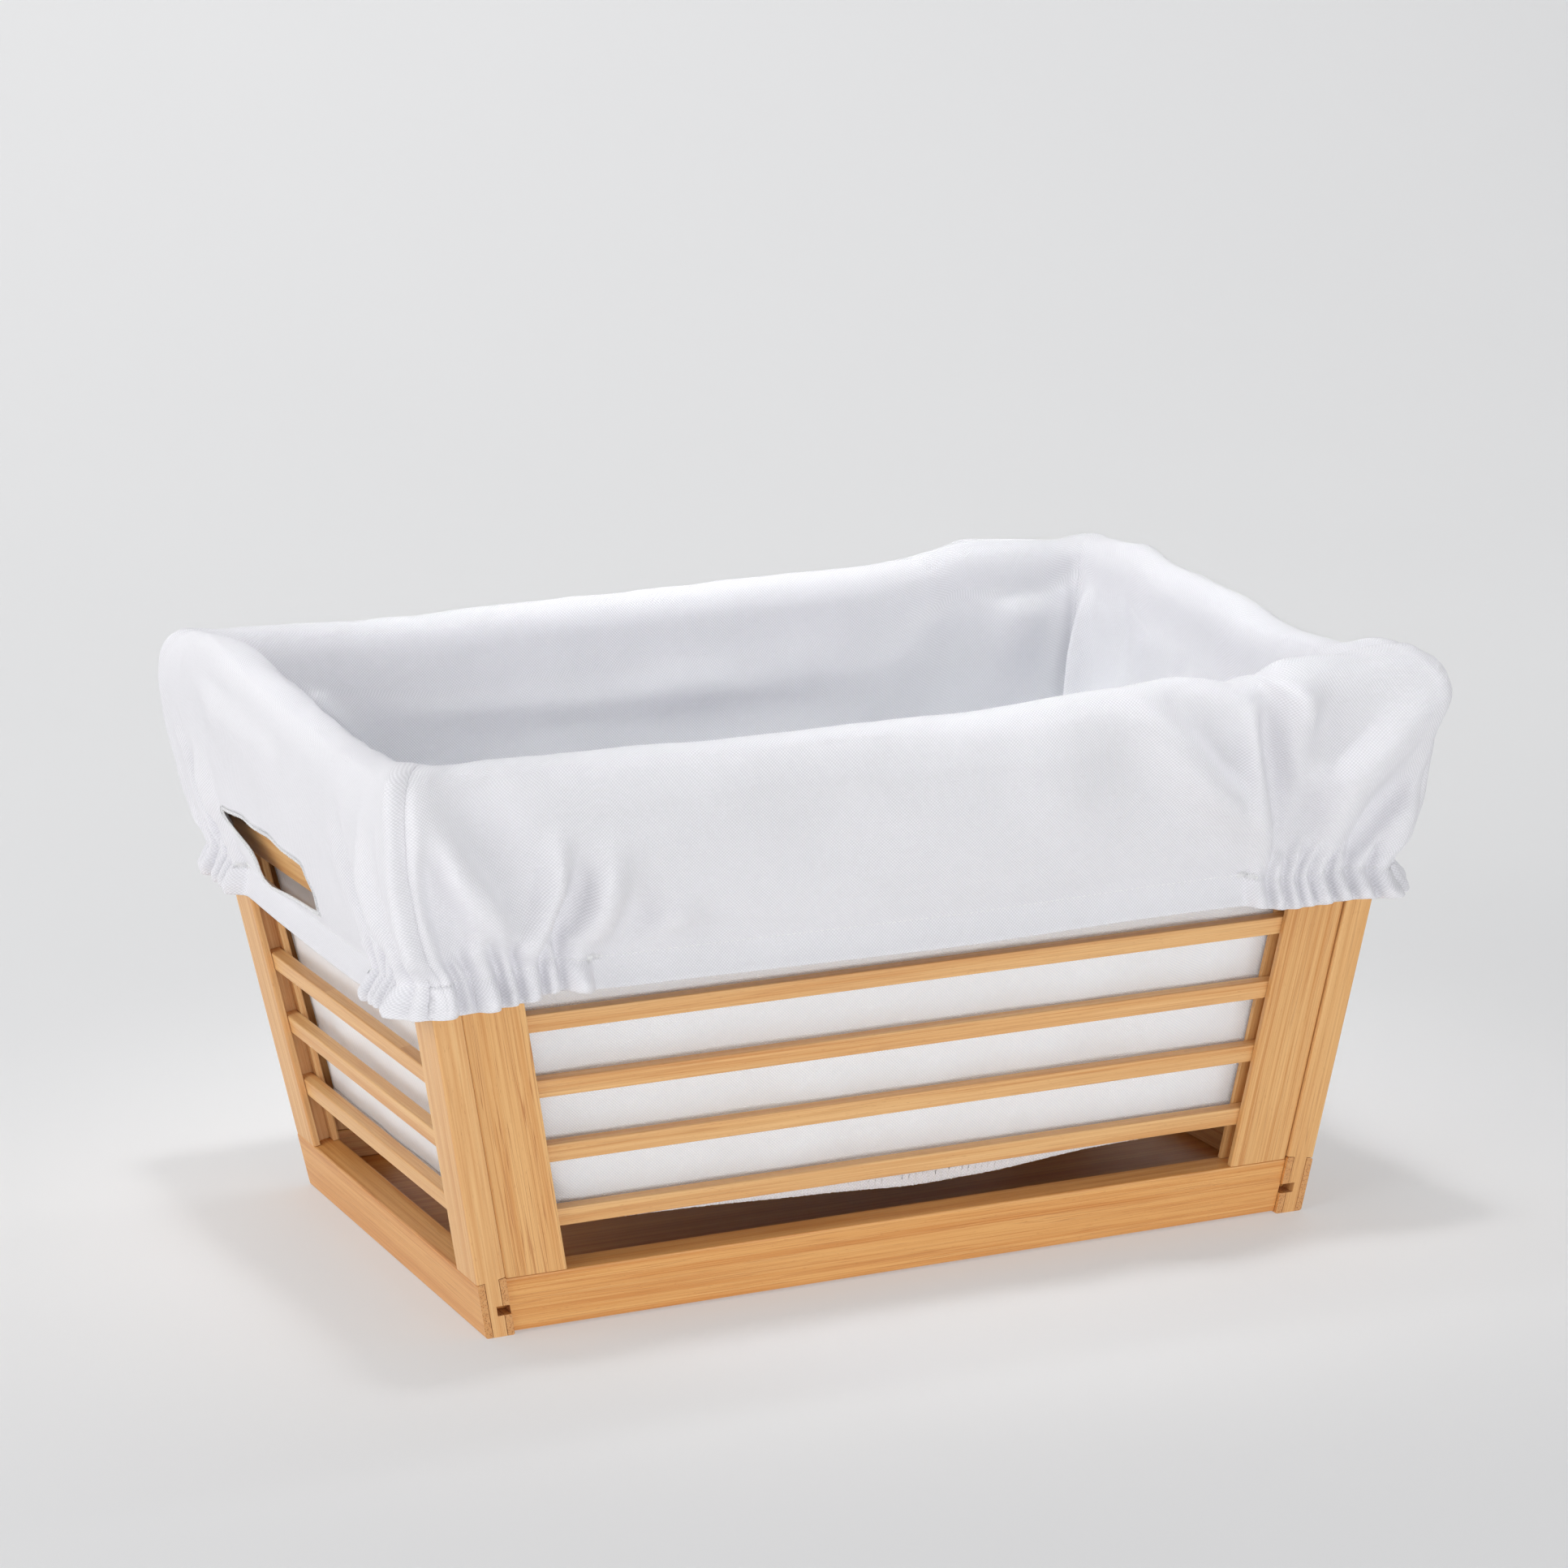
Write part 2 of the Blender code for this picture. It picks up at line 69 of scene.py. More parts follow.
def make_camera():
    data = bpy.data.cameras.new("camera")
    data.sensor_width = 36.0
    data.lens = FOCAL_PX / FRAME_PX * 36.0
    data.clip_start, data.clip_end = 0.05, 60.0
    ob = bpy.data.objects.new("camera", data)
    matrix = np.eye(4)
    matrix[:3, 0], matrix[:3, 1], matrix[:3, 2], matrix[:3, 3] = CAM_X, CAM_Y, CAM_Z, CAM_AT
    ob.matrix_world = Matrix(matrix.tolist())
    bpy.context.scene.collection.objects.link(ob)
    bpy.context.scene.camera = ob


# --- node helpers -------------------------------------------------------------------------------
class Shader:
    """A material's node tree, with short calls for the maths that the finishes need."""

    def __init__(self, name):
        self.mat = bpy.data.materials.new(name)
        self.mat.use_nodes = True
        self.tree = self.mat.node_tree
        self.bsdf = self.tree.nodes["Principled BSDF"]

    def node(self, kind, **settings):
        n = self.tree.nodes.new(kind)
        for key, value in settings.items():
            setattr(n, key, value)
        return n

    def put(self, socket, value):
        if isinstance(value, bpy.types.NodeSocket):
            self.tree.links.new(value, socket)
        else:
            socket.default_value = value

    def math(self, operation, a, b=0.0, c=None, clamp=False):
        n = self.node("ShaderNodeMath", operation=operation, use_clamp=clamp)
        self.put(n.inputs[0], a)
        self.put(n.inputs[1], b)
        if c is not None:
            self.put(n.inputs[2], c)
        return n.outputs[0]

    def dot(self, a, axis):
        n = self.node("ShaderNodeVectorMath", operation="DOT_PRODUCT")
        self.put(n.inputs[0], a)
        n.inputs[1].default_value = axis
        return n.outputs["Value"]

    def join(self, x, y, z):
        n = self.node("ShaderNodeCombineXYZ")
        for socket, value in zip(n.inputs, (x, y, z)):
            self.put(socket, value)
        return n.outputs[0]

    def split(self, vector):
        n = self.node("ShaderNodeSeparateXYZ")
        self.put(n.inputs[0], vector)
        return n.outputs

    def noise(self, vector, scale=1.0, detail=2.0, rough=0.5, distort=0.0):
        n = self.node("ShaderNodeTexNoise")
        self.put(n.inputs["Vector"], vector)
        n.inputs["Scale"].default_value = scale
        n.inputs["Detail"].default_value = detail
        n.inputs["Roughness"].default_value = rough
        n.inputs["Distortion"].default_value = distort
        return n.outputs["Fac"]

    def ramp(self, value, low, high, to_low=0.0, to_high=1.0):
        n = self.node("ShaderNodeMapRange", interpolation_type="SMOOTHSTEP")
        self.put(n.inputs["Value"], value)
        n.inputs["From Min"].default_value = low
        n.inputs["From Max"].default_value = high
        n.inputs["To Min"].default_value = to_low
        n.inputs["To Max"].default_value = to_high
        return n.outputs["Result"]

    def mix(self, factor, a, b, blend="MIX"):
        n = self.node("ShaderNodeMix", data_type="RGBA", blend_type=blend)
        self.put(n.inputs[0], factor)
        for socket, value in ((n.inputs[6], a), (n.inputs[7], b)):
            self.put(socket, (*value, 1.0) if isinstance(value, tuple) and len(value) == 3 else value)
        return n.outputs[2]

    def bump(self, height, distance, strength=1.0, normal=None):
        n = self.node("ShaderNodeBump")
        n.inputs["Strength"].default_value = strength
        n.inputs["Distance"].default_value = distance
        self.put(n.inputs["Height"], height)
        if normal is not None:
            self.put(n.inputs["Normal"], normal)
        return n.outputs[0]


def srgb(r, g, b):
    """Linear colour of an 8-bit sRGB value."""
    out = []
    for v in (r, g, b):
        v /= 255.0
        out.append(v / 12.92 if v <= 0.04045 else ((v + 0.055) / 1.055) ** 2.4)
    return tuple(out)


# --- bamboo -------------------------------------------------------------------------------------
def bar_axes(ob):
    """Long axis, then the two cross axes, of a bar's own mesh."""
    co = np.empty(len(ob.data.vertices) * 3)
    ob.data.vertices.foreach_get("co", co)
    co = co.reshape(-1, 3)
    middle = (co.min(0) + co.max(0)) / 2
    values, vectors = np.linalg.eigh(np.cov((co - middle).T))
    return vectors[:, 2], vectors[:, 1], vectors[:, 0]


def bamboo(name, axes, seed, pale=0.0, line=0.5, tint=1.0, warm=0.0, strip=5.0):
    """Laminated bamboo: fibres along axes[0], strips side by side, speckled where cut across."""
    s = Shader(name)
    place = s.node("ShaderNodeTexCoord").outputs["Object"]
    along, wide, thick = (s.dot(place, tuple(float(v) for v in axis)) for axis in axes)
    # A slow wander keeps the fibres from being ruler straight.
    drift = s.noise(s.join(s.math("MULTIPLY", along, 5.0), s.math("MULTIPLY", wide, 30.0), seed), 1.0, 1.0)
    wide = s.math("MULTIPLY_ADD", drift, 0.0016, wide)
    strips = s.math("DIVIDE", s.math("ADD", wide, seed * 0.37), strip * MM)
    cell = s.math("FLOOR", strips)
    inside = s.math("FRACT", strips)
    white = s.node("ShaderNodeTexWhiteNoise", noise_dimensions="2D")
    s.put(white.inputs["Vector"], s.join(cell, seed, 0.0))
    strip_tone = white.outputs["Value"]
    shift = s.math("MULTIPLY", strip_tone, 9.0)

    def grain(fa, fw, detail, rough, offset):
        vec = s.join(s.math("MULTIPLY_ADD", along, fa, shift), s.math("MULTIPLY", wide, fw),
                     s.math("MULTIPLY_ADD", thick, fw, seed * 3.1 + offset))
        return s.noise(vec, 1.0, detail, rough)

    fine = grain(14.0, 1500.0, 4.0, 0.62, 0.0)
    broad = grain(4.0, 260.0, 2.0, 0.5, 7.0)
    dark = grain(5.0, 420.0, 2.5, 0.55, 13.0)
    pores = grain(260.0, 2300.0, 1.0, 0.5, 21.0)
    # Dark resin lines where the noise crosses its middle value.
    lines = s.ramp(s.math("ABSOLUTE", s.math("SUBTRACT", dark, 0.5)), 0.0, 0.030, 1.0, 0.0)
    lines = s.math("MULTIPLY", lines, s.ramp(fine, 0.35, 0.65, 0.35, 1.0))
    seam = s.math("MULTIPLY", s.ramp(inside, 0.0, 0.05, 1.0, 0.0), s.ramp(strip_tone, 0.25, 0.7))

    mid = srgb(*(221 + 10 * pale, 165 + 16 * pale - 8 * warm, 98 + 26 * pale - 12 * warm))
    light = srgb(*(234 + 6 * pale, 188 + 14 * pale - 6 * warm, 126 + 24 * pale - 10 * warm))
    deep = srgb(*(199 + 14 * pale, 130 + 18 * pale - 8 * warm, 64 + 26 * pale - 10 * warm))
    resin = srgb(*(172 + 12 * pale, 98 + 18 * pale, 42 + 18 * pale))
    mid, light, deep, resin = (tuple(v * tint for v in c) for c in (mid, light, deep, resin))
    colour = s.mix(s.ramp(broad, 0.30, 0.70), deep, light)
    colour = s.mix(0.45, colour, mid)
    colour = s.mix(s.math("MULTIPLY", s.ramp(fine, 0.42, 0.72), 0.55), colour, light)
    colour = s.mix(s.math("MULTIPLY", s.ramp(fine, 0.52, 0.26), 0.55), colour, deep)
    colour = s.mix(s.math("MULTIPLY", s.ramp(strip_tone, 0.0, 1.0, -0.22, 0.30), 1.0, clamp=True), colour, light)
    colour = s.mix(s.math("MULTIPLY", lines, line), colour, resin)
    colour = s.mix(s.math("MULTIPLY", seam, 0.45 * line + 0.1), colour, resin)
    colour = s.mix(s.math("MULTIPLY", s.ramp(pores, 0.66, 0.78), 0.35), colour, resin)

    # Cut ends: round vessel bundles in a darker ground.
    face = s.node("ShaderNodeNewGeometry").outputs["Normal"]
    cut = s.ramp(s.math("ABSOLUTE", s.dot(face, tuple(float(v) for v in axes[0]))), 0.62, 0.80)
    cells = s.node("ShaderNodeTexVoronoi", feature="F1")
    s.put(cells.inputs["Vector"], s.join(wide, thick, s.math("MULTIPLY", along, 0.1)))
    cells.inputs["Scale"].default_value = 1150.0
    spots = s.ramp(cells.outputs["Distance"], 0.22, 0.42, 1.0, 0.0)
    ends = s.mix(s.math("MULTIPLY", spots, 0.8), srgb(208, 150, 92), srgb(150, 84, 36))
    ends = s.mix(s.math("MULTIPLY", s.ramp(s.noise(place, 700.0, 2.0), 0.35, 0.7), 0.4), ends, srgb(226, 178, 122))
    s.put(s.bsdf.inputs["Base Color"], s.mix(cut, colour, ends))

    rough = s.math("MULTIPLY_ADD", fine, 0.16, 0.36)
    rough = s.math("MULTIPLY_ADD", cut, 0.22, rough)
    s.put(s.bsdf.inputs["Roughness"], rough)
    height = s.math("MULTIPLY_ADD", lines, -0.6, fine)
    height = s.math("MULTIPLY_ADD", s.math("MULTIPLY", cut, spots), -1.2, height)
    s.put(s.bsdf.inputs["Normal"], s.bump(height, 0.00011, 0.8))
    s.bsdf.inputs["Specular IOR Level"].default_value = 0.42
    s.bsdf.inputs["Coat Weight"].default_value = 0.10
    s.bsdf.inputs["Coat Roughness"].default_value = 0.28
    return s.mat


def finish_wood():
    names = sorted(n for n in NODES if not n.startswith(("bag_", "skirt_", "elastic_")))
    rng = np.random.default_rng(17)
    for name in names:
        ob = NODES[name]
        axes = bar_axes(ob)
        pale, line, tint, warm, strip = 0.15, 0.45, 1.0, 0.0, 5.4
        if "_slat_" in name:
            pale, line, strip = 0.35, 0.35, 4.6
        if name.endswith("bottom_rail"):
            pale, line, warm, strip = -0.1, 0.40, 1.0, 7.4
        if name == "front_left_stile":
            pale, line, strip = 0.1, 0.85, 3.8
        if name.startswith("left_") and "stile" in name:
            pale, line = 0.45, 0.25
        if name == "bottom_board":
            pale, line, tint, warm, strip = -0.5, 0.3, 0.95, 1.5, 21.0
            axes = (np.array((1.0, 0, 0)), np.array((0, 1.0, 0)), np.array((0, 0, 1.0)))
        if name.startswith("dowel"):
            pale = 0.5
        tint *= 1.0 + 0.05 * (rng.random() - 0.5)
        mat = bamboo(name + "_finish", axes, float(rng.uniform(1.0, 40.0)), pale, line, tint, warm, strip)
        ob.data.materials.clear()
        ob.data.materials.append(mat)

# --- liner: cut and drape ------------------------------------------------------------------------
BASE_X, BASE_Y, LEAN_X, LEAN_Y = 220.0, 140.0, 0.169, 0.145
WALL = 14.5
TOP_X, TOP_Y = 282.0, 281.0
CUT_LONG, CUT_END = 554.0, 380.0
LONG = ("front", "back")
TAKE_LONG, TAKE_END = 106.0, 84.0
RING = ("back", "left", "front", "right", "back")
NORMAL = {"front": (0.0, -1.0), "back": (0.0, 1.0), "left": (-1.0, 0.0), "right": (1.0, 0.0)}
TRAVEL = {"front": (1.0, 0.0), "back": (-1.0, 0.0), "left": (0.0, -1.0), "right": (0.0, 1.0)}
LAP = 8         # columns repeated where the ring closes
STITCH = 8      # row of the hem's stitch line
PUCKER = 4      # row of the elastic's lower edge


def cut_half(side):
    return (CUT_LONG if side in LONG else CUT_END) / 2


def take(side):
    return TAKE_LONG if side in LONG else TAKE_END


def side_columns(side):
    half, fine_to = cut_half(side), take(side) + 8
    coarse = 5.5 if side in LONG else 2.8
    out = [0.0]
    while out[-1] < half:
        d = half - out[-1]
        out.append(out[-1] + (2.0 if d < fine_to else min(coarse, 2.0 + (d - fine_to) * 0.09)))
    out = np.array(out) * (half / out[-1])
    return np.concatenate([-out[:0:-1], out])


def pixel_on(side, u, v, out):
    """Where the camera ray through a pixel of the 1932-pixel frame meets a panel's outer plane, out mm
    in front of it: place along the side's travel, and height, in mm."""
    ray = CAM_X * ((u - 966) / FOCAL_PX) - CAM_Y * ((v - 966) / FOCAL_PX) - CAM_Z
    nx, ny = NORMAL[side]
    lean, base = (LEAN_Y, BASE_Y) if side in LONG else (LEAN_X, BASE_X)
    n = np.array((nx, ny, -lean))
    at = CAM_AT * 1000
    k = (base + out - n @ at) / (n @ ray)
    p = at + ray * k
    return p[0] * TRAVEL[side][0] + p[1] * TRAVEL[side][1], p[2]


# offset from the basket's outer plane, and height, along the cloth from the hem's lower edge
PROFILE_OUT = [(0, 8.0), (8, 4.5), (15, 2.6), (20, 5.6), (28, 8.5), (45, 11.5), (75, 13.0), (98, 10.0), (112, 6.0), (119, 2.5),
               (126, -4.0), (133, -12.5), (139, -18.0), (144, -19.0), (200, -19.0)]
PROFILE_Z = [(0, 171.5), (8, 179.5), (15, 186.5), (22, 193.0), (45, 215.0), (75, 244.5), (98, 267.5), (112, 281.0),
             (119, 288.0), (126, 293.0), (133, 293.5), (139, 290.0), (144, 285.5), (200, 229.5)]
PROFILE_ROUND = [(0, 9), (15, 4), (60, 15), (98, 14), (112, 10), (119, 7), (126, 8), (140, 8)]

# height of the rim's crest along each side's travel
CREST = {
    "front": [(-262, 288), (-238, 288), (-183, 287), (-123, 285.5), (-62, 284.5), (22, 285), (81, 288), (120, 291),
              (142, 291), (162, 286), (178, 290), (190, 296), (225, 297), (240, 299), (262, 296)],
    "right": [(-182, 295), (-164, 294), (-148, 296), (-130, 290), (-104, 285), (-63, 284.5), (-36, 287), (1, 292),
              (47, 295), (86, 299), (117, 304), (150, 303), (182, 301)],
    "back": [(-262, 301), (-219, 302.5), (-180, 305), (-144, 297.5), (-86, 295.5), (-23, 294.5), (52, 293.5),
             (130, 292.5), (215, 296), (262, 295)],
    "left": [(-182, 298), (-148, 301), (-104, 306), (-64, 305), (-41, 300), (10, 295), (27, 291), (69, 288),
             (117, 286), (154, 287), (182, 288)],
}
# height of the stitch line along each side's travel
HEMLINE = {
    "front": [(-262, 186), (-237, 186), (-205, 188), (-182, 192), (-160, 188), (-100, 187.5), (20, 186), (110, 188), (160, 188),
              (190, 184), (225, 186), (262, 184)],
    "right": [(-180, 185), (-90, 188), (0, 186), (100, 187), (180, 186)],
    "back": [(-262, 186), (-170, 189), (0, 186), (150, 189), (262, 185)],
    "left": [(-180, 186), (-120, 185), (-60, 182), (0, 180), (60, 179), (120, 181), (180, 185)],
}

# Large folds of the skirt: side, path in photograph pixels (or place and height, mm), width, height outwards
PX_FOLDS = [
    ("front", [(511, 941), (505, 990), (507, 1060), (518, 1133), (535, 1189)], 4, 1.5),
    ("front", [(520, 1050), (532, 1110), (550, 1165)], 6.5, -3.4),
    ("front", [(526, 1004), (560, 1077), (611, 1139), (639, 1167)], 8, 4.6),
    ("front", [(560, 968), (600, 1030), (632, 1080)], 12, -5.2),
    ("front", [(684, 1040), (682, 1094), (660, 1155), (652, 1189)], 5.5, 5.4),
    ("front", [(714, 1075), (704, 1110), (674, 1166)], 6.5, -5.6),
    ("front", [(703, 1110), (692, 1175)], 4, 2.2),
    ("front", [(750, 1060), (740, 1110), (734, 1165)], 9, 4.6),
    ("front", [(790, 1095), (783, 1130), (765, 1168)], 8, -3.8),
    ("front", [(838, 1110), (830, 1155)], 9, 2.2),
    ("front", [(886, 1128), (880, 1165)], 9, -2.0),
    ("front", [(1396, 850), (1434, 895), (1487, 968), (1541, 1021)], 11, 6.0),
    ("front", [(1428, 843), (1468, 874), (1500, 915), (1530, 965)], 9, -4.6),
    ("front", [(1546, 870), (1539, 940), (1547, 1000), (1562, 1050)], 5.5, 4.0),
    ("front", [(1569, 845), (1566, 900), (1576, 970), (1580, 1045)], 5.5, -8.0),
    ("front", [(1584, 822), (1600, 850), (1614, 900)], 6.5, 4.8),
    ("front", [(1600, 960), (1612, 1035)], 8, -3.6),
    ("front", [(1770, 862), (1712, 905), (1661, 958), (1640, 1020)], 11, 5.6),
    ("front", [(1745, 958), (1705, 992), (1684, 1021), (1668, 1045)], 6.5, -7.0),
    ("front", [(1640, 870), (1625, 940)], 10, -2.8),
    ("front", [(1240, 905), (1300, 960), (1330, 1040)], 22, 1.8),
    ("front", [(1050, 960), (1020, 1080)], 26, -1.6),
]
MM_FOLDS = [
    ("left", [(-120, 285), (-60, 268), (10, 262)], 14, 1.8),
    ("left", [(-150, 250), (-140, 205), (-128, 188)], 7, -3.5),
    ("left", [(-118, 245), (-112, 200)], 8, 2.5),
    ("left", [(108, 250), (122, 215), (138, 192)], 8, -3.0),
    ("left", [(150, 255), (158, 215), (160, 192)], 8, 2.6),
    ("right", [(-150, 285), (-146, 240), (-134, 192)], 6, -5.0),
    ("right", [(-112, 260), (-118, 215), (-124, 190)], 8, 3.0),
    ("right", [(-40, 280), (10, 250), (30, 215)], 16, 2.0),
    ("right", [(110, 270), (122, 225), (130, 192)], 8, -4.0),
    ("right", [(145, 262), (150, 215), (152, 190)], 8, 3.0),
    ("back", [(-232, 285), (-222, 240), (-208, 192)], 7, -5.0),
    ("back", [(-190, 262), (-196, 220), (-200, 190)], 9, 3.2),
    ("back", [(-120, 270), (-150, 225), (-170, 192)], 10, -2.4),
    ("back", [(-40, 275), (20, 240), (60, 200)], 22, 1.6),
    ("back", [(150, 280), (178, 235), (186, 192)], 8, -4.5),
    ("back", [(205, 270), (212, 225), (216, 190)], 9, 3.4),
    ("back", [(238, 285), (240, 235), (236, 192)], 6, -3.0),
]

# mm of fullness at the rim of each half of a panel, before and after its middle
EASE = {"front": (3.0, 7.0), "right": (6.0, 3.0), "back": (2.5, 2.5), "left": (2.5, 3.0)}
# mm that the frill's edge stands out more at each corner: back left, front left, front right, back right
FLARE = (0.0, 3.5, 5.5, 3.0)
GATHER = 0.72   # share of its length that the gathered hem is drawn to

# extra fullness, mm outwards, at a row of the cloth, along each side's travel
PUFF = [
    (112, {
        "front": [(-262, -1), (-200, 0), (120, 0), (180, 2.5), (262, 6.0)],
        "right": [(-182, 6.0), (-120, 3), (-60, 0.5), (60, 0), (120, 0), (182, 0)],
        "back": [(-262, 0), (262, 0)],
        "left": [(-182, 0), (182, -1)],
    }),
]


def wave_noise(u, v, seed, size):
    """Smooth noise of about -1 to 1: a few waves in seeded directions."""
    rng = np.random.default_rng(seed)
    out = 0.0
    for _ in range(7):
        a, f = rng.uniform(0, 2 * math.pi), 2 * math.pi / (size * rng.uniform(0.6, 1.7))
        out = out + np.sin(f * (u * math.cos(a) + v * math.sin(a)) + rng.uniform(0, 6.3)) * rng.uniform(0.5, 1.0)
    return out / 3.2


def stroke(u, v, path, width):
    """Bell-shaped band along a path, fading at both ends, on points (u, v)."""
    path = np.asarray(path, float)
    seg = np.linalg.norm(np.diff(path, axis=0), axis=1)
    total = seg.sum()
    best = np.full(u.shape, 1e9)
    where = np.zeros(u.shape)
    run = 0.0
    for a, b, length in zip(path[:-1], path[1:], seg):
        d = (b - a) / length
        k = np.clip((u - a[0]) * d[0] + (v - a[1]) * d[1], 0, length)
        dist = np.hypot(u - a[0] - d[0] * k, v - a[1] - d[1] * k)
        near = dist < best
        best = np.where(near, dist, best)
        where = np.where(near, run + k, where)
        run += length
    fade = np.minimum(1.0, 0.25 + np.minimum(where, total - where) / (0.35 * total) * 0.75)
    return np.exp(-(best / width) ** 2) * fade


def by_side(table, side, coord):
    """Reads a table of heights around the ring, smoothed over the corners."""
    out = np.empty(len(coord))
    for s in set(side):
        at = side == s
        h = 262.0 if s in LONG else 180.0
        xs, ys = zip(*table[s])
        out[at] = np.interp(coord[at] / cut_half(s) * h, xs, ys)
    for _ in range(8):
        out[1:-1] = (out[:-2] + 2 * out[1:-1] + out[2:]) / 4
    return out


class Skirt:
    """The turned-down part of the liner as one grid: rows run from the hem's lower edge over the rim to the
    inside, columns once round the basket."""

    def __init__(self, seed=5):
        self.rng = np.random.default_rng(seed)
        self.make_grid()
        self.choose_pleats()
        self.make_start()

    def make_grid(self):
        side, coord = [], []
        for k, name in enumerate(RING):
            c = side_columns(name)
            c = c[c >= 0] if k == 0 else c[c <= 0] if k == 4 else c
            c = c if k == 0 else c[1:]
            side += [name] * len(c)
            coord += list(c)
        back = side_columns("back")
        self.side = np.array(side + ["back"] * LAP)
        self.c = np.array(coord + list(back[back > 0][:LAP]))
        t = list(np.linspace(0, 15.0, 9))
        for end, step in ((60, 2.25), (118, 3.3), (142, 2.6), (168, 4.0)):
            while t[-1] < end:
                t.append(t[-1] + step)
        self.t = np.array(t)
        self.R, self.C = len(self.t), len(self.c)
        step = np.abs(np.diff(self.c))
        for j in range(self.C - 1):
            if self.side[j] != self.side[j + 1]:
                step[j] = self.c[j + 1] + cut_half(self.side[j + 1])
        self.arc = np.concatenate([[0], np.cumsum(step)])
        self.seams = [j for j in range(1, self.C - 1) if abs(self.c[j] - cut_half(self.side[j])) < 1e-6]
        self.once = self.C - 1 - LAP            # this column lies on column 0

    def choose_pleats(self):
        """Columns that the elastic holds; between two of them the cloth stands out as a pleat."""
        self.holds = []
        self.lobe, self.pinch = np.zeros(self.C), np.zeros(self.C)
        for seam in self.seams:
            pos = self.arc - self.arc[seam]
            lo, hi = -take(self.side[seam]), take(self.side[seam + 1])
            marks = [lo]
            while marks[-1] < hi - 15:
                marks.append(marks[-1] + self.rng.uniform(8.0, 17.0))
            marks[-1] = hi
            cols = sorted({int(np.argmin(np.abs(pos - m))) for m in marks})
            self.holds.append(cols)
            for a in cols[1:-1]:
                self.pinch += np.exp(-((self.arc - self.arc[a]) / 2.6) ** 2) * self.rng.uniform(0.4, 1.25)
            for a, b in zip(cols[:-1], cols[1:]):
                u = (np.arange(a, b + 1) - a) / (b - a)
                self.lobe[a:b + 1] = np.sin(math.pi * u) * self.rng.uniform(0.6, 1.25) * (self.arc[b] - self.arc[a]) / 12.5

    def reach(self, out, z, r):
        """Half of each side's length round to the corner's middle, on a rounded outline."""
        long_side = np.isin(self.side, LONG)[None]
        h = np.where(long_side, BASE_X + LEAN_X * z, BASE_Y + LEAN_Y * z) + out
        return h - r + math.pi / 4 * r

    def outline(self, q, out, z, r):
        """Points, outward directions and place along the side, at q mm from each side's middle."""
        long_side = np.isin(self.side, LONG)[None]
        a, b = BASE_X + LEAN_X * z + out, BASE_Y + LEAN_Y * z + out
        h, away = np.where(long_side, a, b), np.where(long_side, b, a)
        over = np.maximum(np.abs(q) - (h - r), 0) / r
        sign = np.sign(q)
        along = sign * np.where(over > 0, h - r + r * np.sin(over), np.abs(q))
        away = np.where(over > 0, away - r + r * np.cos(over), away)
        nx, ny = (np.array([NORMAL[s][k] for s in self.side]) for k in (0, 1))
        tx, ty = (np.array([TRAVEL[s][k] for s in self.side]) for k in (0, 1))
        N = np.stack([nx * np.cos(over) + tx * np.sin(over) * sign, ny * np.cos(over) + ty * np.sin(over) * sign,
                      np.zeros_like(z)])
        return np.stack([along * tx + away * nx, along * ty + away * ny, z]), N, along

    def folds(self, along, z, pixel_folds, place_folds, out):
        push = np.zeros_like(z)
        for s in ("front", "left", "right", "back"):
            at = self.side == s
            for name, path, width, height in pixel_folds:
                if name == s:
                    path = [pixel_on(s, px, py, out) for px, py in path]
                    push[:, at] += height * stroke(along[:, at], z[:, at], path, width)
            for name, path, width, height in place_folds:
                if name == s:
                    push[:, at] += height * stroke(along[:, at], z[:, at], path, width)
        for _ in range(3):
            for j in self.seams:
                push[:, j] = (push[:, j - 1] + push[:, j + 1]) / 2
        return push

    def profile(self):
        """Height and stand-off of every row. Over a high or low rim, and across a corner, the cloth keeps its
        length: the difference is drawn from the inside."""
        base = np.arange(0, 201.0)
        bz, bo = np.interp(base, *zip(*PROFILE_Z)), np.interp(base, *zip(*PROFILE_OUT))
        run = lambda o, h: np.concatenate([[0], np.cumsum(np.hypot(np.diff(o), np.diff(h)))])
        plain = run(bo, bz)
        crest, hem = by_side(CREST, self.side, self.c), by_side(HEMLINE, self.side, self.c)
        crest = crest + wave_noise(self.arc, 0.0, 51, 52.0) * 0.9 + wave_noise(self.arc, 0.0, 52, 24.0) * 0.45
        gap = np.min(np.abs(self.arc[:, None] - self.arc[None, self.seams]), axis=1)
        across = 1 + 0.41 * np.exp(-(gap / 15.0) ** 2)
        z, out = np.empty((2, self.R, self.C))
        for j in range(self.C):
            up = hem[j] + (bz - 186.5) * np.where(base < 15, 1.0, (crest[j] - hem[j]) / (293.5 - 186.5))
            h = np.where(base <= 130, up, bz + crest[j] - 293.5)
            at = base + run(bo * across[j], h) - plain
            z[:, j], out[:, j] = np.interp(self.t, at, h), np.interp(self.t, at, bo)
        return z, out

    def make_start(self):
        t = self.t
        long_side = np.isin(self.side, LONG)
        half = np.where(long_side, CUT_LONG, CUT_END) / 2
        flat = (half - np.where(long_side, TAKE_LONG, TAKE_END))[None]
        r = np.interp(t, *zip(*PROFILE_ROUND))[:, None] * np.ones((1, self.C))
        z, out = self.profile()
        for row, table in PUFF:
            out += np.exp(-((t - row) / 16.0) ** 2)[:, None] * by_side(table, self.side, self.c)[None]
        reach = self.reach(out, z, r)
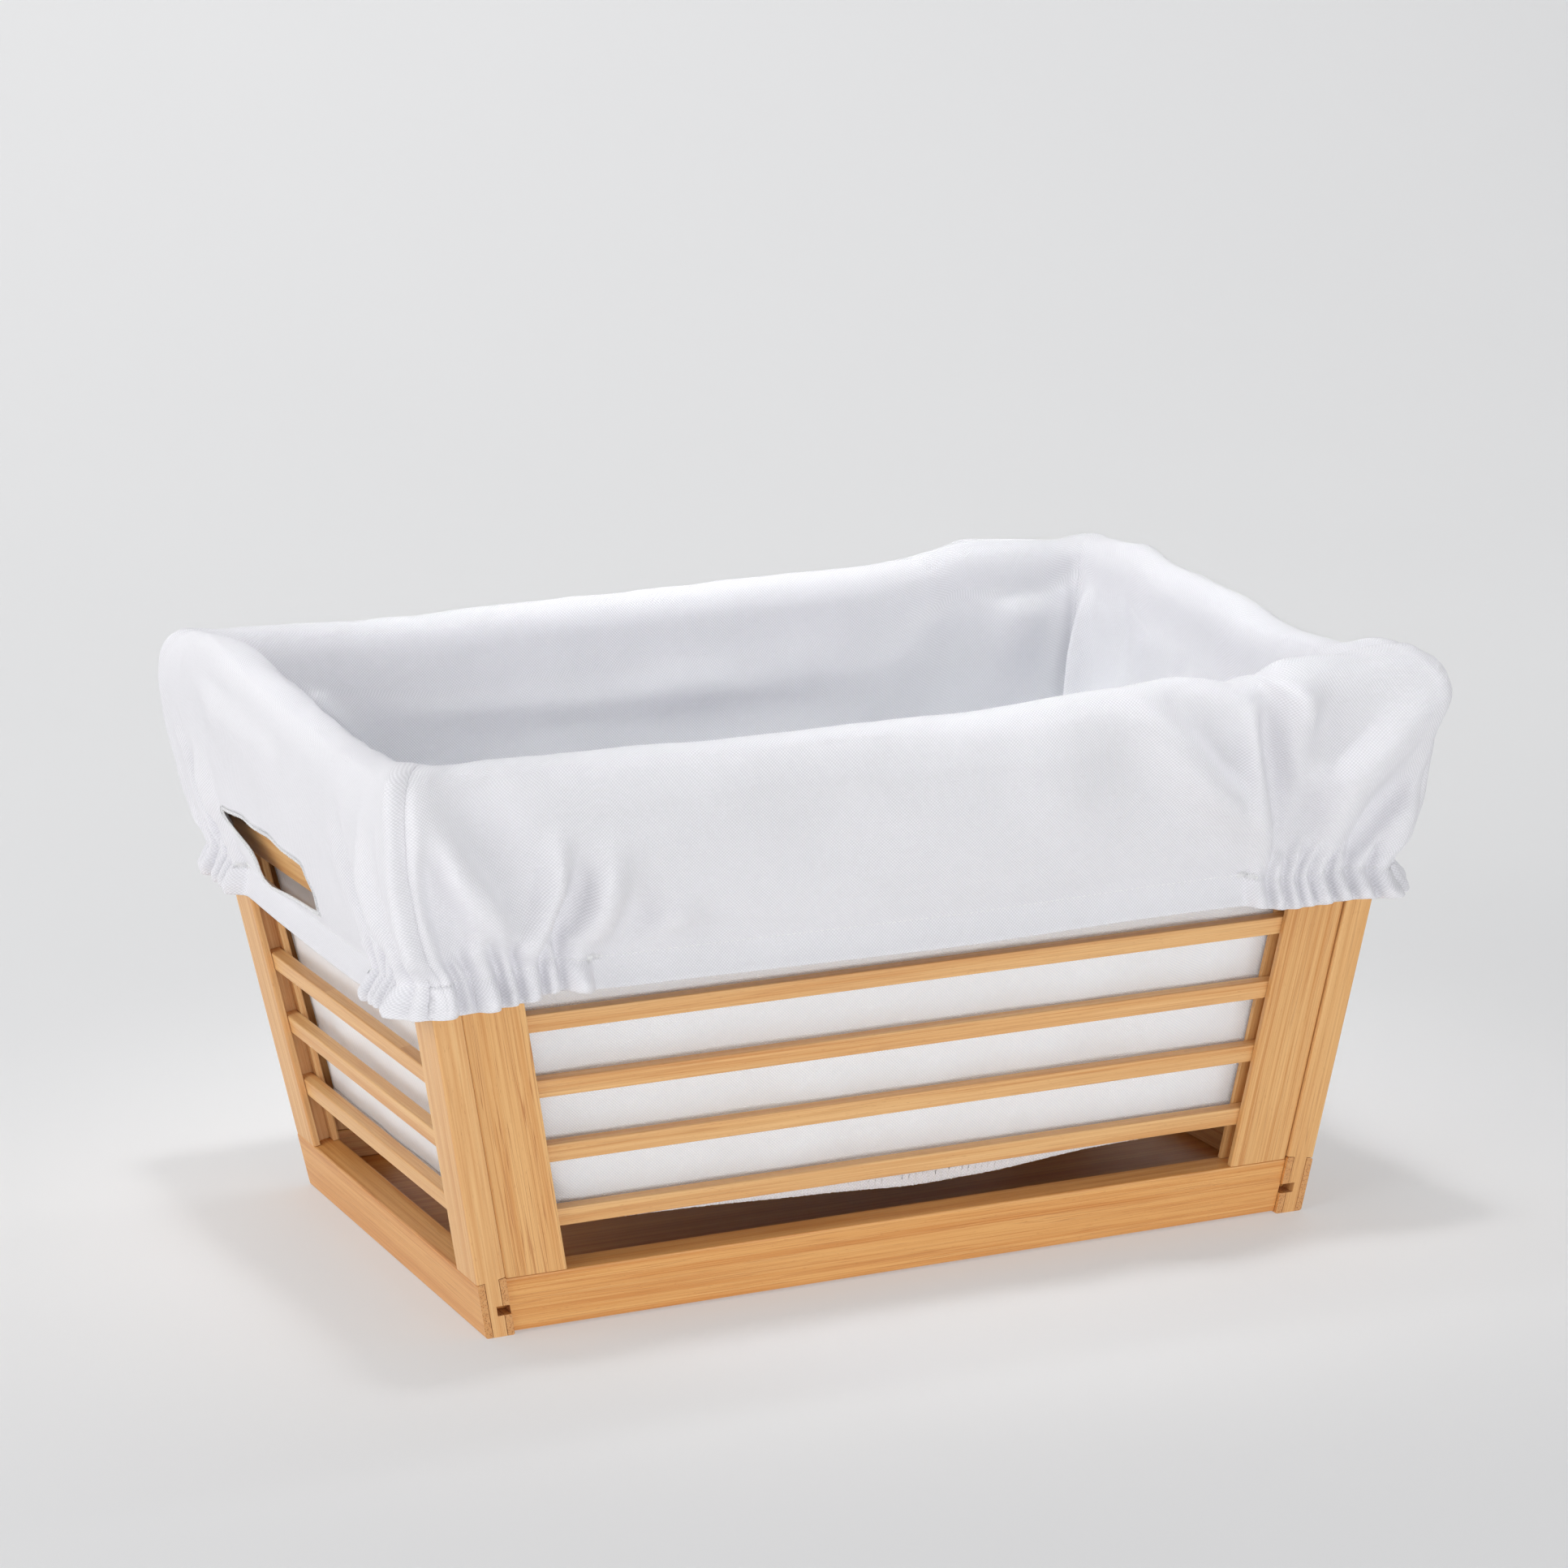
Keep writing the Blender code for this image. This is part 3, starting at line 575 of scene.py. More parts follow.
        # towards the rim the cut is shaped to the basket, with a little ease
        shaped = np.interp(t, [85, 112], [0.0, 1.0])[:, None]
        ease = np.array([EASE[s][int(c > 0)] for s, c in zip(self.side, self.c)])[None]
        self.narrow = 1 - shaped * (1 - np.minimum(1, (reach * 1.004 + ease) / half[None]))
        c = np.abs(self.c)[None] * self.narrow
        q = np.where(c <= flat, c, flat + (c - flat) * (reach - flat) / (half[None] * self.narrow - flat))
        q = q * np.sign(self.c)[None]
        # the near-left seam sits a little towards the front
        gap = self.arc - self.arc[self.seams[1]]
        q = q + np.exp(-(gap / 55.0) ** 2)[None] * np.interp(t, [0, 15, 50], [3.5, 3.5, 0])[:, None]
        self.share = q[-1] / reach[-1]
        X, N, along = self.outline(q, out, z, r)
        push = self.folds(along, z, PX_FOLDS, MM_FOLDS, 9.0) * 1.8
        push *= np.interp(t, [15, 24, 118, 127], [0.0, 1.0, 1.0, 0.0])[:, None]
        self.creases = np.clip(push * 0.5, -1.2, 3.0)
        soft = wave_noise(self.arc[None], z, 11, 75.0) * 1.1 + wave_noise(self.arc[None], z, 12, 34.0) * 0.45
        push += soft * np.interp(t, [15, 40, 100, 122], [0.0, 1.0, 1.0, 0.3])[:, None]
        push += np.interp(t, [0, 15, 22, 34], [8.0, 4.6, 3.0, 0.0])[:, None] * self.lobe[None]
        near = np.exp(-(np.abs(self.arc[:, None] - self.arc[None, self.seams]) / 70.0) ** 4)
        push += np.interp(t, [0, 14, 18], [1.0, 0.0, 0.0])[:, None] * (near @ np.array(FLARE))[None]
        self.facing = N
        self.X = (X + N * push[None]).astype(np.float32)
        self.goal = self.X.copy()

    def solve(self, steps=100, inner=10, bend=0.22, squeeze=0.25):
        """Position-based cloth: threads, shear, bending, the elastic in the hem, the wood, and a weak pull
        towards the starting shape."""
        X, goal, R, C = self.X, self.goal, self.R, self.C
        before = X.copy()
        f32 = np.float32
        narrow = self.narrow.astype(f32)
        du = np.diff(self.arc).astype(f32)[None] * (narrow[:, 1:] + narrow[:, :-1]) / 2
        dv = (np.diff(self.t)[:, None] * np.ones((1, C))).astype(f32)
        diagonal = np.sqrt(((du[:-1] + du[1:]) / 2) ** 2 + dv[:, :-1] ** 2)

        def pull(a, b, length, far, near):
            """Moves both ends of each link; far and near say how much of a stretch or a squeeze is undone."""
            d = b - a
            n = np.sqrt((d * d).sum(0)) + f32(1e-6)
            e = (n - length) / n
            d *= np.where(e > 0, e * far, e * near) * f32(0.5)
            a += d
            b -= d

        links = [(p, q) for cols in self.holds for p, q in zip(cols[:-1], cols[1:])]
        la, lb = np.array(links).T
        length = (self.arc[lb] - self.arc[la]).astype(f32)
        ratio = self.rng.uniform(0.62, 0.90, len(links))
        ratio = (ratio * (GATHER / ratio.mean())).astype(f32)
        hold = np.interp(self.t, [0, 15, 24, 40, 110, 124, 136, 150, 170],
                         [0.03, 0.03, 0.035, 0.07, 0.07, 0.05, 0.03, 0.05, 0.2]).astype(f32)[None, :, None]
        kx, ky = math.hypot(1, LEAN_X), math.hypot(1, LEAN_Y)

        def clear_wood(margin=f32(1.6)):
            x, y, z = X
            dx = (np.abs(x) - LEAN_X * z - BASE_X) / kx
            dy = (np.abs(y) - LEAN_Y * z - BASE_Y) / ky
            end = dx > dy
            s = np.where(end, dx, dy)
            top = np.where(dx > -WALL - 2.0, TOP_X, TOP_Y)
            go_out, go_in, go_up = margin - s, s + WALL + margin, top + f32(2.0) - z
            least = np.minimum(np.minimum(go_out, go_in), go_up)
            hit = least > 0
            up = hit & (least == go_up)
            move = np.where(hit & ~up, np.where(least == go_out, go_out, -go_in), 0)
            z += np.where(up, go_up, 0) - move * np.where(end, LEAN_X / kx, LEAN_Y / ky)
            x += move * np.where(end, np.sign(x) / kx, 0)
            y += move * np.where(end, 0, np.sign(y) / ky)

        stiff = {k: np.interp(self.t, [0, 21, 36], [low, low, bend]).astype(f32)[:, None]
                 for k, low in ((2, 0.10), (4, 0.0), (8, 0.0))}
        span_u = {k: (self.arc[k:] - self.arc[:-k]).astype(f32)[None] * (narrow[:, k:] + narrow[:, :-k]) / 2
                  for k in (2, 4, 8)}
        span_v = {k: (self.t[k:] - self.t[:-k]).astype(f32)[:, None] for k in (2, 4, 8)}
        for step in range(steps):
            drawn = min(1.0, step / (steps * 0.45))
            speed = (X - before) * f32(0.9)
            before[...] = X
            X += speed
            X[2] -= f32(0.010)
            for _ in range(inner):
                for o in (0, 1):
                    m = (C - o) // 2
                    pull(X[:, :, o:o + 2 * m:2], X[:, :, o + 1:o + 1 + 2 * m:2], du[:, o::2][:, :m], 1.0, squeeze)
                    m = (R - o) // 2
                    pull(X[:, o:o + 2 * m:2], X[:, o + 1:o + 1 + 2 * m:2], dv[o::2][:m], 1.0, squeeze)
                    g = diagonal[o::2][:m]
                    pull(X[:, o:o + 2 * m:2, :-1], X[:, o + 1:o + 1 + 2 * m:2, 1:], g, 0.35, 0.15)
                    pull(X[:, o:o + 2 * m:2, 1:], X[:, o + 1:o + 1 + 2 * m:2, :-1], g, 0.35, 0.15)
                for k in (2, 4, 8):
                    for o in range(2 * k):
                        pull(X[:, :, o:C - k:2 * k], X[:, :, o + k:C:2 * k], span_u[k][:, o::2 * k], 0.0, stiff[k])
                        a, b = X[:, o:R - k:2 * k], X[:, o + k:R:2 * k]
                        if a.shape[1]:
                            pull(a, b, span_v[k][o::2 * k], 0.0, bend)
                for row, share in ((STITCH, 1.0), (PUCKER, 0.4)):
                    line = X[:, row]
                    d = line[:, lb] - line[:, la]
                    n = np.sqrt((d * d).sum(0)) + f32(1e-6)
                    d *= np.maximum(n - length * (1 - (1 - ratio) * f32(drawn * share)), 0) / n * f32(0.5)
                    np.add.at(line.T, la, d.T)
                    np.add.at(line.T, lb, -d.T)
                X += (goal - X) * hold
                X[2, STITCH] += (goal[2, STITCH] - X[2, STITCH]) * f32(0.05)
                clear_wood()
                X[:, R - 2:] = goal[:, R - 2:]
                lap = (X[:, :, :LAP + 1] + X[:, :, C - LAP - 1:]) * f32(0.5)
                X[:, :, :LAP + 1] = lap
                X[:, :, C - LAP - 1:] = lap
        # the gathers: puffs between the needle holes, sharp pinches above them, a groove along the stitches
        puff = np.interp(self.t, [0, 5, 11, 15, 22], [2.1, 4.6, 3.0, 0.8, 0.0])[:, None] * self.lobe[None]
        nip = np.interp(self.t, [8, 13, 16, 21, 27, 36], [0.0, 0.7, 1.0, 3.4, 1.8, 0.0])[:, None] * self.pinch[None]
        groove = np.where(np.arange(R) == STITCH, 0.3, 0.0)[:, None]
        # every seam draws in a little, between a fuller ridge on the end panel's side and a softer one
        tuck = np.zeros(C)
        for seam, deep in zip(self.seams, (0.6, 1.5, 0.6, 0.6)):
            gap = self.arc - self.arc[seam + (SEAM_STEP if seam == self.seams[1] else 0)]
            tuck += deep * (1.3 * np.exp(-(gap / 2.4) ** 2) - 2.0 * np.exp(-((gap + 7.0) / 4.5) ** 2) - 0.9 * np.exp(-((gap - 9.0) / 5.5) ** 2))
        tuck = np.interp(self.t, [4, 22, 124, 136], [0.0, 1.0, 1.0, 0.0])[:, None] * tuck[None]
        # no pinch goes deeper than the clearance to the wood behind it
        relief = np.maximum(puff - nip - groove - tuck + self.creases, -2.6)
        self.X = X + (self.facing * relief[None]).astype(f32)


# --- liner: sewing ------------------------------------------------------------------------------
BAG_OUT = -18.6                    # the bag hangs this far inside the outer planes
SEAM_STEP = 3                      # the near-left seam lies this many columns towards the front
# hand hole on the cloth, mm from its middle and from the hem's lower edge, and the rounding of its corners
HOLE = np.array([(-98.0, 46.0), (-36.0, 28.5), (30.0, 30.0), (33.0, 38.0), (30.0, 48.0), (-15.0, 51.0), (-60.0, 50.5)])
HOLE_ROUND = 3.2
CLOTH_MM = 0.45

# height of the bag's bottom seam along each side's travel
FLOOR_LINE = {
    "front": [(-262, 55), (-140, 53), (-46, 49.5), (12, 46.5), (70, 48.5), (130, 53), (262, 56)],
    "right": [(-180, 56), (0, 54), (180, 56)],
    "back": [(-262, 56), (0, 53), (262, 56)],
    "left": [(-180, 57), (0, 56), (180, 57)],
}
# Folds of the bag, height towards the inside
BAG_FOLDS_PX = [
    ("back", [(262, 760), (300, 780), (345, 817), (385, 860), (435, 905)], 5.5, 6.0),
    ("back", [(330, 778), (390, 822), (450, 868)], 8.0, -2.4),
    ("back", [(420, 812), (620, 795), (800, 786), (1100, 758), (1260, 745)], 9.0, 3.2),
    ("back", [(440, 878), (660, 868), (960, 838), (1130, 812)], 9.0, 2.4),
    ("back", [(540, 762), (640, 800), (660, 830)], 12.0, 1.2),
    ("back", [(1165, 690), (1195, 722), (1180, 748)], 9.0, -2.4),
    ("back", [(1262, 690), (1258, 760), (1235, 830)], 17.0, 6.0),
    ("back", [(1316, 690), (1306, 770), (1300, 850)], 8.0, 3.0),
    ("right", [(1466, 712), (1440, 750), (1418, 790)], 5.5, 4.2),
    ("right", [(1500, 745), (1470, 800), (1450, 850)], 7.0, -2.6),
    ("right", [(1541, 728), (1520, 780), (1503, 830)], 5.0, 4.8),
    ("right", [(1580, 770), (1560, 810), (1545, 840)], 8.0, -2.6),
    ("right", [(1400, 700), (1388, 770), (1380, 850)], 9.0, -1.5),
    ("front", [(640, 1440), (668, 1470), (700, 1492)], 6.0, 5.0),
    ("front", [(1254, 1404), (1263, 1384), (1266, 1368)], 3.5, 1.8),
    ("front", [(760, 1440), (900, 1400), (1040, 1350)], 14.0, 1.6),
    ("front", [(1080, 1420), (1200, 1360), (1350, 1300)], 16.0, 1.8),
    ("front", [(700, 1330), (900, 1300), (1100, 1280)], 16.0, 1.2),
]
BAG_FOLDS_MM = [
    ("right", [(146, 289), (147, 255), (143, 215), (138, 150)], 6.5, 10.0),
    ("left", [(-120, 270), (-80, 200), (-60, 120)], 14.0, 3.0),
    ("left", [(90, 270), (60, 180), (70, 90)], 14.0, 3.0),
    ("right", [(-110, 270), (-70, 180), (-60, 90)], 14.0, 3.0),
    ("front", [(-200, 280), (-180, 230), (-150, 190)], 10.0, 4.0),
    ("front", [(190, 280), (170, 220), (160, 170)], 10.0, 4.0),
    ("back", [(-150, 180), (0, 150), (140, 170)], 18.0, 2.5),
    ("back", [(-60, 110), (60, 90), (160, 100)], 16.0, 2.5),
    ("left", [(-60, 80), (0, 70), (60, 84)], 10.0, 2.0),
]


def surface_normals(G):
    """Right-side normals of a grid (3, rows, columns)."""
    n = np.cross(np.gradient(G, axis=2), np.gradient(G, axis=1), axisa=0, axisb=0, axisc=0)
    return n / (np.linalg.norm(n, axis=0) + 1e-9)


class Wall:
    """The whole liner wall, from hem to bottom seam, once round and a little on: points P, the cloth's own
    coordinates A (round) and T (down), all in mm, with columns doubled where the cloth is gathered."""

    def __init__(self, skirt):
        X = skirt.X.astype(float)
        lowest = by_side(FLOOR_LINE, skirt.side, skirt.c)
        steps = np.concatenate([[0.02, 0.042], np.linspace(0.064, 0.97, 44), [0.986, 1.0]])[:, None]
        z = X[2, -1][None] * (1 - steps) + lowest[None] * steps
        out = np.interp(steps, [0, 0.1, 0.9, 1.0], [-19.0, BAG_OUT, BAG_OUT, BAG_OUT - 0.5]) * np.ones_like(z)
        r = np.interp(steps, [0, 0.3, 1], [8, 9, 12]) * np.ones_like(z)
        q = skirt.share[None] * skirt.reach(out, z, r)
        bag, N, along = skirt.outline(q, out, z, r)
        push = skirt.folds(along, z, BAG_FOLDS_PX, BAG_FOLDS_MM, BAG_OUT)
        push += wave_noise(skirt.arc[None], z, 31, 90.0) * 1.3 + wave_noise(skirt.arc[None], z, 32, 38.0) * 0.35 + 0.8
        n, first = skirt.once, skirt.seams[0]
        # the noise doesn't repeat at the join, so it is blended there
        for k in range(LAP + 1):
            w = k / LAP
            push[:, n + k] = push[:, k] = push[:, n + k] * (1 - w) + push[:, k] * w
        push = np.maximum(push, -2.6) * np.interp(steps, [0, 0.05, 0.96, 1.0], [0, 1, 1, 0.4])
        bag = bag - N * push[None]
        P = np.concatenate([X, bag], axis=1)
        mid = (skirt.narrow[:, 1:] + skirt.narrow[:, :-1]) / 2
        gaps = np.concatenate([np.diff(skirt.arc)[None] * mid, np.linalg.norm(np.diff(bag, axis=2), axis=0)], 0)
        A = np.concatenate([np.zeros((gaps.shape[0], 1)), np.cumsum(gaps, axis=1)], 1)
        drop = np.abs(np.diff(np.concatenate([X[2, -1:], z], 0), axis=0)).mean(1) * 1.012
        self.t = np.concatenate([skirt.t, skirt.t[-1] + np.cumsum(drop)])
        self.P0, self.n = P[:, :, :n], n
        V = np.concatenate([P, A[None]], 0)
        V = np.concatenate([V[:, :, :n + 1], V[:, :, 1:first + 12] + np.array([0, 0, 0, 1.0])[:, None, None] *
                            A[None, :, n:n + 1]], 2)
        arc = np.concatenate([skirt.arc[:n + 1], skirt.arc[1:first + 12] + skirt.arc[n]])
        split = np.diff(arc) < 2.15
        split[:2] = split[-2:] = False
        self.at = np.concatenate([[0], np.cumsum(1 + split)])      # where each old column went
        W = np.empty((4, V.shape[1], self.at[-1] + 1))
        W[:, :, self.at] = V
        j = np.flatnonzero(split)
        W[:, :, self.at[j] + 1] = (-V[:, :, j - 1] + 9 * V[:, :, j] + 9 * V[:, :, j + 1] - V[:, :, j + 2]) / 16
        self.P, self.A = W[:3], W[3]
        self.N = surface_normals(self.P)
        s0, s1, s2, s3 = skirt.seams
        self.spans = {"left": (s0, s1 + SEAM_STEP), "front": (s1 + SEAM_STEP, s2), "right": (s2, s3), "back": (s3, n + s0)}
        self.middles = {"left": (s0, s1), "front": (s1, s2), "right": (s2, s3), "back": (s3, n + s0)}
        self.holds = [[int(self.at[c]) for c in cols] for cols in skirt.holds]
        self.corners = [0.5 * (skirt.arc[s]) for s in skirt.seams]
        self.floor = {}
        ends = {"left": (s0, s1), "front": (s1, s2), "right": (s2, s3), "back": (s3, n + s0)}
        for side, (a, b) in ends.items():
            self.floor[side] = V[:3, -1, a:b + 1]

    def panel(self, side):
        """Points, normals and cloth coordinates of one panel."""
        a, b = (int(self.at[k]) for k in self.spans[side])
        m, o = (int(self.at[k]) for k in self.middles[side])
        c = self.A[:, a:b + 1] - (self.A[:, m:m + 1] + self.A[:, o:o + 1]) / 2
        UV = np.stack([c, self.t[:, None] * np.ones_like(c)])
        return self.P[:, :, a:b + 1].copy(), self.N[:, :, a:b + 1], UV


def sheet_object(name, G, UV, mat, thick=CLOTH_MM, hole=None):
    """A grid of cloth as an object, its right side along rows x columns, with thickness on the wrong side."""
    rows, cols = G.shape[1:]
    index = np.arange(rows * cols).reshape(rows, cols)
    quads = np.stack([index[:-1, :-1], index[:-1, 1:], index[1:, 1:], index[1:, :-1]], -1).reshape(-1, 4)
    if hole is not None:
        middle = (UV[:, :-1, :-1] + UV[:, 1:, 1:] + UV[:, :-1, 1:] + UV[:, 1:, :-1]) / 4
        quads = quads[~hole(middle).reshape(-1)]
    used, quads = np.unique(quads, return_inverse=True)
    quads = quads.reshape(-1, 4)
    return mesh_object(name, G.reshape(3, -1).T[used], quads.tolist(), mat, UV.reshape(2, -1).T[used], thick)


def mesh_object(name, verts, faces, mat, flat=None, thick=0.0):
    mesh = bpy.data.meshes.new(name)
    mesh.from_pydata((np.asarray(verts) * MM).tolist(), [], faces)
    if flat is not None:
        layer = mesh.uv_layers.new(name="cut")
        corner = np.empty(len(mesh.loops), np.int32)
        mesh.loops.foreach_get("vertex_index", corner)
        layer.data.foreach_set("uv", (flat * MM)[corner].astype(np.float32).ravel())
    mesh.shade_smooth()
    mesh.materials.append(mat)
    ob = bpy.data.objects.new(name, mesh)
    bpy.context.scene.collection.objects.link(ob)
    if thick:
        solid = ob.modifiers.new("thickness", "SOLIDIFY")
        solid.thickness = thick * MM
        solid.offset = -1.0
    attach(ob, "liner")
    return ob


def slot_distance(c, t):
    """Signed distance on the cloth to the hand hole's outline; negative inside."""
    best, inside = np.full(np.shape(c), 1e9), np.ones(np.shape(c), bool)
    for (ax, ay), (bx, by) in zip(HOLE, np.roll(HOLE, -1, 0)):
        length = math.hypot(bx - ax, by - ay)
        dx, dy = (bx - ax) / length, (by - ay) / length
        k = np.clip((c - ax) * dx + (t - ay) * dy, 0, length)
        best = np.minimum(best, np.hypot(c - ax - dx * k, t - ay - dy * k))
        inside &= (c - ax) * dy - (t - ay) * dx < 0
    return np.where(inside, -best, best) - HOLE_ROUND


def fit_hole(G, UV):
    """Slides the grid's points next to the hole's outline onto it, within the cloth."""
    c, t = UV.copy()
    wide, tall = np.gradient(c, axis=1), np.gradient(t, axis=0)
    h = 1e-3
    for _ in range(2):
        d = slot_distance(c, t)
        gx, gy = (slot_distance(c + h, t) - d) / h, (slot_distance(c, t + h) - d) / h
        near = np.abs(d) < 0.53 * (np.abs(gx) * wide + np.abs(gy) * tall)
        c, t = np.where(near, c - gx * d, c), np.where(near, t - gy * d, t)
    gu, gv = np.gradient(G, axis=2) / wide[None], np.gradient(G, axis=1) / tall[None]
    return G + gu * (c - UV[0])[None] + gv * (t - UV[1])[None], np.stack([c, t])


def sag_hole(G, N, UV):
    """The strip under the hand hole droops and leans out; the upper lip ripples."""
    c, t = UV
    span = np.clip(1 - ((c + 32.0) / 74.0) ** 2, 0, 1)
    low = np.exp(-((t - 25.5) / 6.5) ** 2) * span
    lip = np.exp(-((t - 56.0) / 6.0) ** 2) * span
    billow = 2.0 + 3.0 * np.exp(-((c + 52.0) / 24.0) ** 2)
    G = G + N * (low * billow + lip * (0.7 + 0.8 * np.sin(c * 0.11 + 0.7)))[None]
    G[2] -= low * 0.6
    return G


def turn_under(G, N, UV):
    """Seam allowances: both side edges roll under and lie back along the wrong side."""
    parts = []
    for flip in (False, True):
        g, n, uv = (x[:, :, ::-1] if flip else x for x in (G, N, UV))
        tangent = g[:, :, 0] - g[:, :, 1]
        tangent /= np.linalg.norm(tangent, axis=0) + 1e-9
        sign = np.sign(uv[0, :, 0])
        cols = [g[:, :, 0] + tangent * 0.22 - n[:, :, 0] * 0.30, g[:, :, 0] + tangent * 0.05 - n[:, :, 0] * 0.85]
        cols += [g[:, :, k] - n[:, :, k] * 1.05 for k in (2, 4, 7)]
        uvs = [np.stack([uv[0, :, 0] + sign * d, uv[1, :, 0]]) for d in (0.5, 1.1, 3.1, 5.1, 8.1)]
        cols, uvs = np.stack(cols[::-1], 2), np.stack(uvs[::-1], 2)
        parts.append((cols[:, :, ::-1], uvs[:, :, ::-1]) if flip else (cols, uvs))
    (g0, u0), (g1, u1) = parts
    return np.concatenate([g0, G, g1], 2), np.concatenate([u0, UV, u1], 2)


def tube(points, radius, sides=5, closed=False):
    """Vertices and faces of a round thread along points (n, 3), in mm."""
    points = np.asarray(points, float)
    d = np.roll(points, -1, 0) - np.roll(points, 1, 0) if closed else np.gradient(points, axis=0)
    d /= np.linalg.norm(d, axis=1)[:, None] + 1e-9
    a = np.cross(d, np.where(np.abs(d[:, 2:3]) < 0.9, [[0.0, 0, 1]], [[1.0, 0, 0]]))
    a /= np.linalg.norm(a, axis=1)[:, None] + 1e-9
    b = np.cross(d, a)
    angle = np.arange(sides) * 2 * math.pi / sides
    rad = np.full((len(points), 1, 1), float(radius))
    if not closed:
        rad[0] *= 0.45
        rad[-1] *= 0.45
    ring = points[:, None] + rad * (np.cos(angle)[None, :, None] * a[:, None] + np.sin(angle)[None, :, None] * b[:, None])
    n = len(points)
    faces = [(i * sides + j, i * sides + (j + 1) % sides, (i + 1) % n * sides + (j + 1) % sides, (i + 1) % n * sides + j)
             for i in range(n if closed else n - 1) for j in range(sides)]
    if not closed:
        faces += [tuple(range(sides))[::-1], tuple((n - 1) * sides + j for j in range(sides))]
    return ring.reshape(-1, 3), faces


def thread_object(name, tubes, mat):
    faces, base = [], 0
    for v, f in tubes:
        faces += [tuple(k + base for k in face) for face in f]
        base += len(v)
    ob = mesh_object(name, np.concatenate([v for v, _ in tubes]), faces, mat)
    return ob


def even_steps(points, gap):
    """Resamples a polyline (n, k) at equal steps of its first three columns."""
    arc = np.concatenate([[0], np.cumsum(np.linalg.norm(np.diff(points[:, :3], axis=0), axis=1))])
    s = np.arange(0, arc[-1], gap)
    return np.stack([np.interp(s, arc, points[:, k]) for k in range(points.shape[1])], 1)


def unit(v):
    return v / (np.linalg.norm(v, axis=-1, keepdims=True) + 1e-9)


def hem_threads(wall, mat):
    """Lockstitch round the hem: short raised threads with a needle hole between them."""
    stop = int(wall.at[wall.n])
    row = np.concatenate([wall.P[:, STITCH, :stop + 1], wall.N[:, STITCH, :stop + 1]], 0).T
    line = even_steps(row, 0.72)
    lift = np.array([-0.12, 0.17, 0.17, -0.12])[:, None]
    tubes = [tube(line[k:k + 4, :3] + line[k:k + 4, 3:6] * lift, 0.19) for k in range(0, len(line) - 4, 4)]
    return thread_object("hem_stitching", tubes, mat)


def bartacks(wall, mat):
    """Zigzag bars over the hem's stitch line where each elastic ends."""
    tubes = []
    P, N = wall.P, wall.N
    rng = np.random.default_rng(3)
    for cols in wall.holds:
        for end, inwards in ((cols[0], 1), (cols[-1], -1)):
            pick = np.arange(end - 14, end + 15)
            if pick[0] < 0:
                continue
            rows = (STITCH - 1, STITCH, STITCH + 1)
            lines = np.concatenate([P[:, k, pick] + N[:, k, pick] * 0.10 for k in rows], 0).T
            lines = even_steps(np.roll(lines, -3, axis=1), 0.46)
            m = len(lines) // 2 + inwards * 10
            lines = lines[max(0, m - 13):m + 14]
            mid, up, low = lines[:, :3], lines[:, 3:6], lines[:, 6:9]
            for k in range(len(mid) - 1):
                a, b = rng.uniform(0.75, 1.05, 2)
                n = k + (k % 2)
                bar = [mid[k] + (low[k] - mid[k]) * a, mid[k], mid[k + 1] + (up[k + 1] - mid[k + 1]) * b]
                if n != k:
                    bar = [mid[k] + (up[k] - mid[k]) * a, mid[k], mid[k + 1] + (low[k + 1] - mid[k + 1]) * b]
                tubes.append(tube(bar, 0.17))
    return thread_object("hem_bartacks", tubes, mat)


def on_cloth(G, N, UV, c, t):
    """Points and normals of a sheet at places on the cloth."""
    rows = np.clip(np.searchsorted(UV[1, :, 0], t) - 1, 0, G.shape[1] - 2)
    pts, nor = np.empty((len(c), 3)), np.empty((len(c), 3))
    for k, i in enumerate(rows):
        lo, hi = max(0, i - 1), min(G.shape[1], i + 3)
        j = int(np.argmin(np.abs(UV[0, i] - c[k])))
        a, b = max(0, j - 2), min(G.shape[2], j + 3)
        u = np.stack([np.ones((hi - lo, b - a)), UV[0, lo:hi, a:b] - c[k], UV[1, lo:hi, a:b] - t[k]], -1).reshape(-1, 3)
        w = 1.0 / (u[:, 1:2] ** 2 + u[:, 2:3] ** 2 + 0.3)
        pts[k] = np.linalg.solve(u.T @ (u * w) + np.eye(3) * 1e-9, (u * w).T @ G[:, lo:hi, a:b].reshape(3, -1).T)[0]
        nor[k] = (w[:, 0][None] * N[:, lo:hi, a:b].reshape(3, -1)).sum(1)
    return pts, unit(nor)


def hole_edging(side, G, UV, mat):
    """Overlock round a hand hole: loops over the raw edge, a needle thread behind them."""
    N = surface_normals(G)
    path, edges = [], np.roll(HOLE, -1, 0) - HOLE
    turns = np.arctan2(-edges[:, 0], edges[:, 1])
    for (cx, cy), first, last in zip(HOLE, np.roll(turns, 1), turns):
        last = first + (last - first) % (2 * math.pi)
        for a in np.linspace(first, last, 6):
            path.append((cx + HOLE_ROUND * math.cos(a), cy + HOLE_ROUND * math.sin(a), 0.0, math.cos(a), math.sin(a)))
    p = even_steps(np.array(path + path[:1]), 0.36)
    p[:, 3:5] = unit(p[:, 3:5])
    swing = np.abs(((np.arange(len(p)) / 3.0) % 2) - 1)
    rng = np.random.default_rng(9)
    tubes = []
    for depth, lift, radius in ((swing * 2.5 - 0.2 + rng.normal(0, 0.12, len(p)), 0.24, 0.21), (2.8, 0.15, 0.18),
                                (-0.1, -0.15, 0.36), (0.35, 0.16, 0.24)):
        at, nor = on_cloth(G, N, UV, p[:, 0] + p[:, 3] * depth, p[:, 1] + p[:, 4] * depth)
        tubes.append(tube(at + nor * lift, radius, closed=True))
    return thread_object("hand_hole_edging_" + side, tubes, mat)


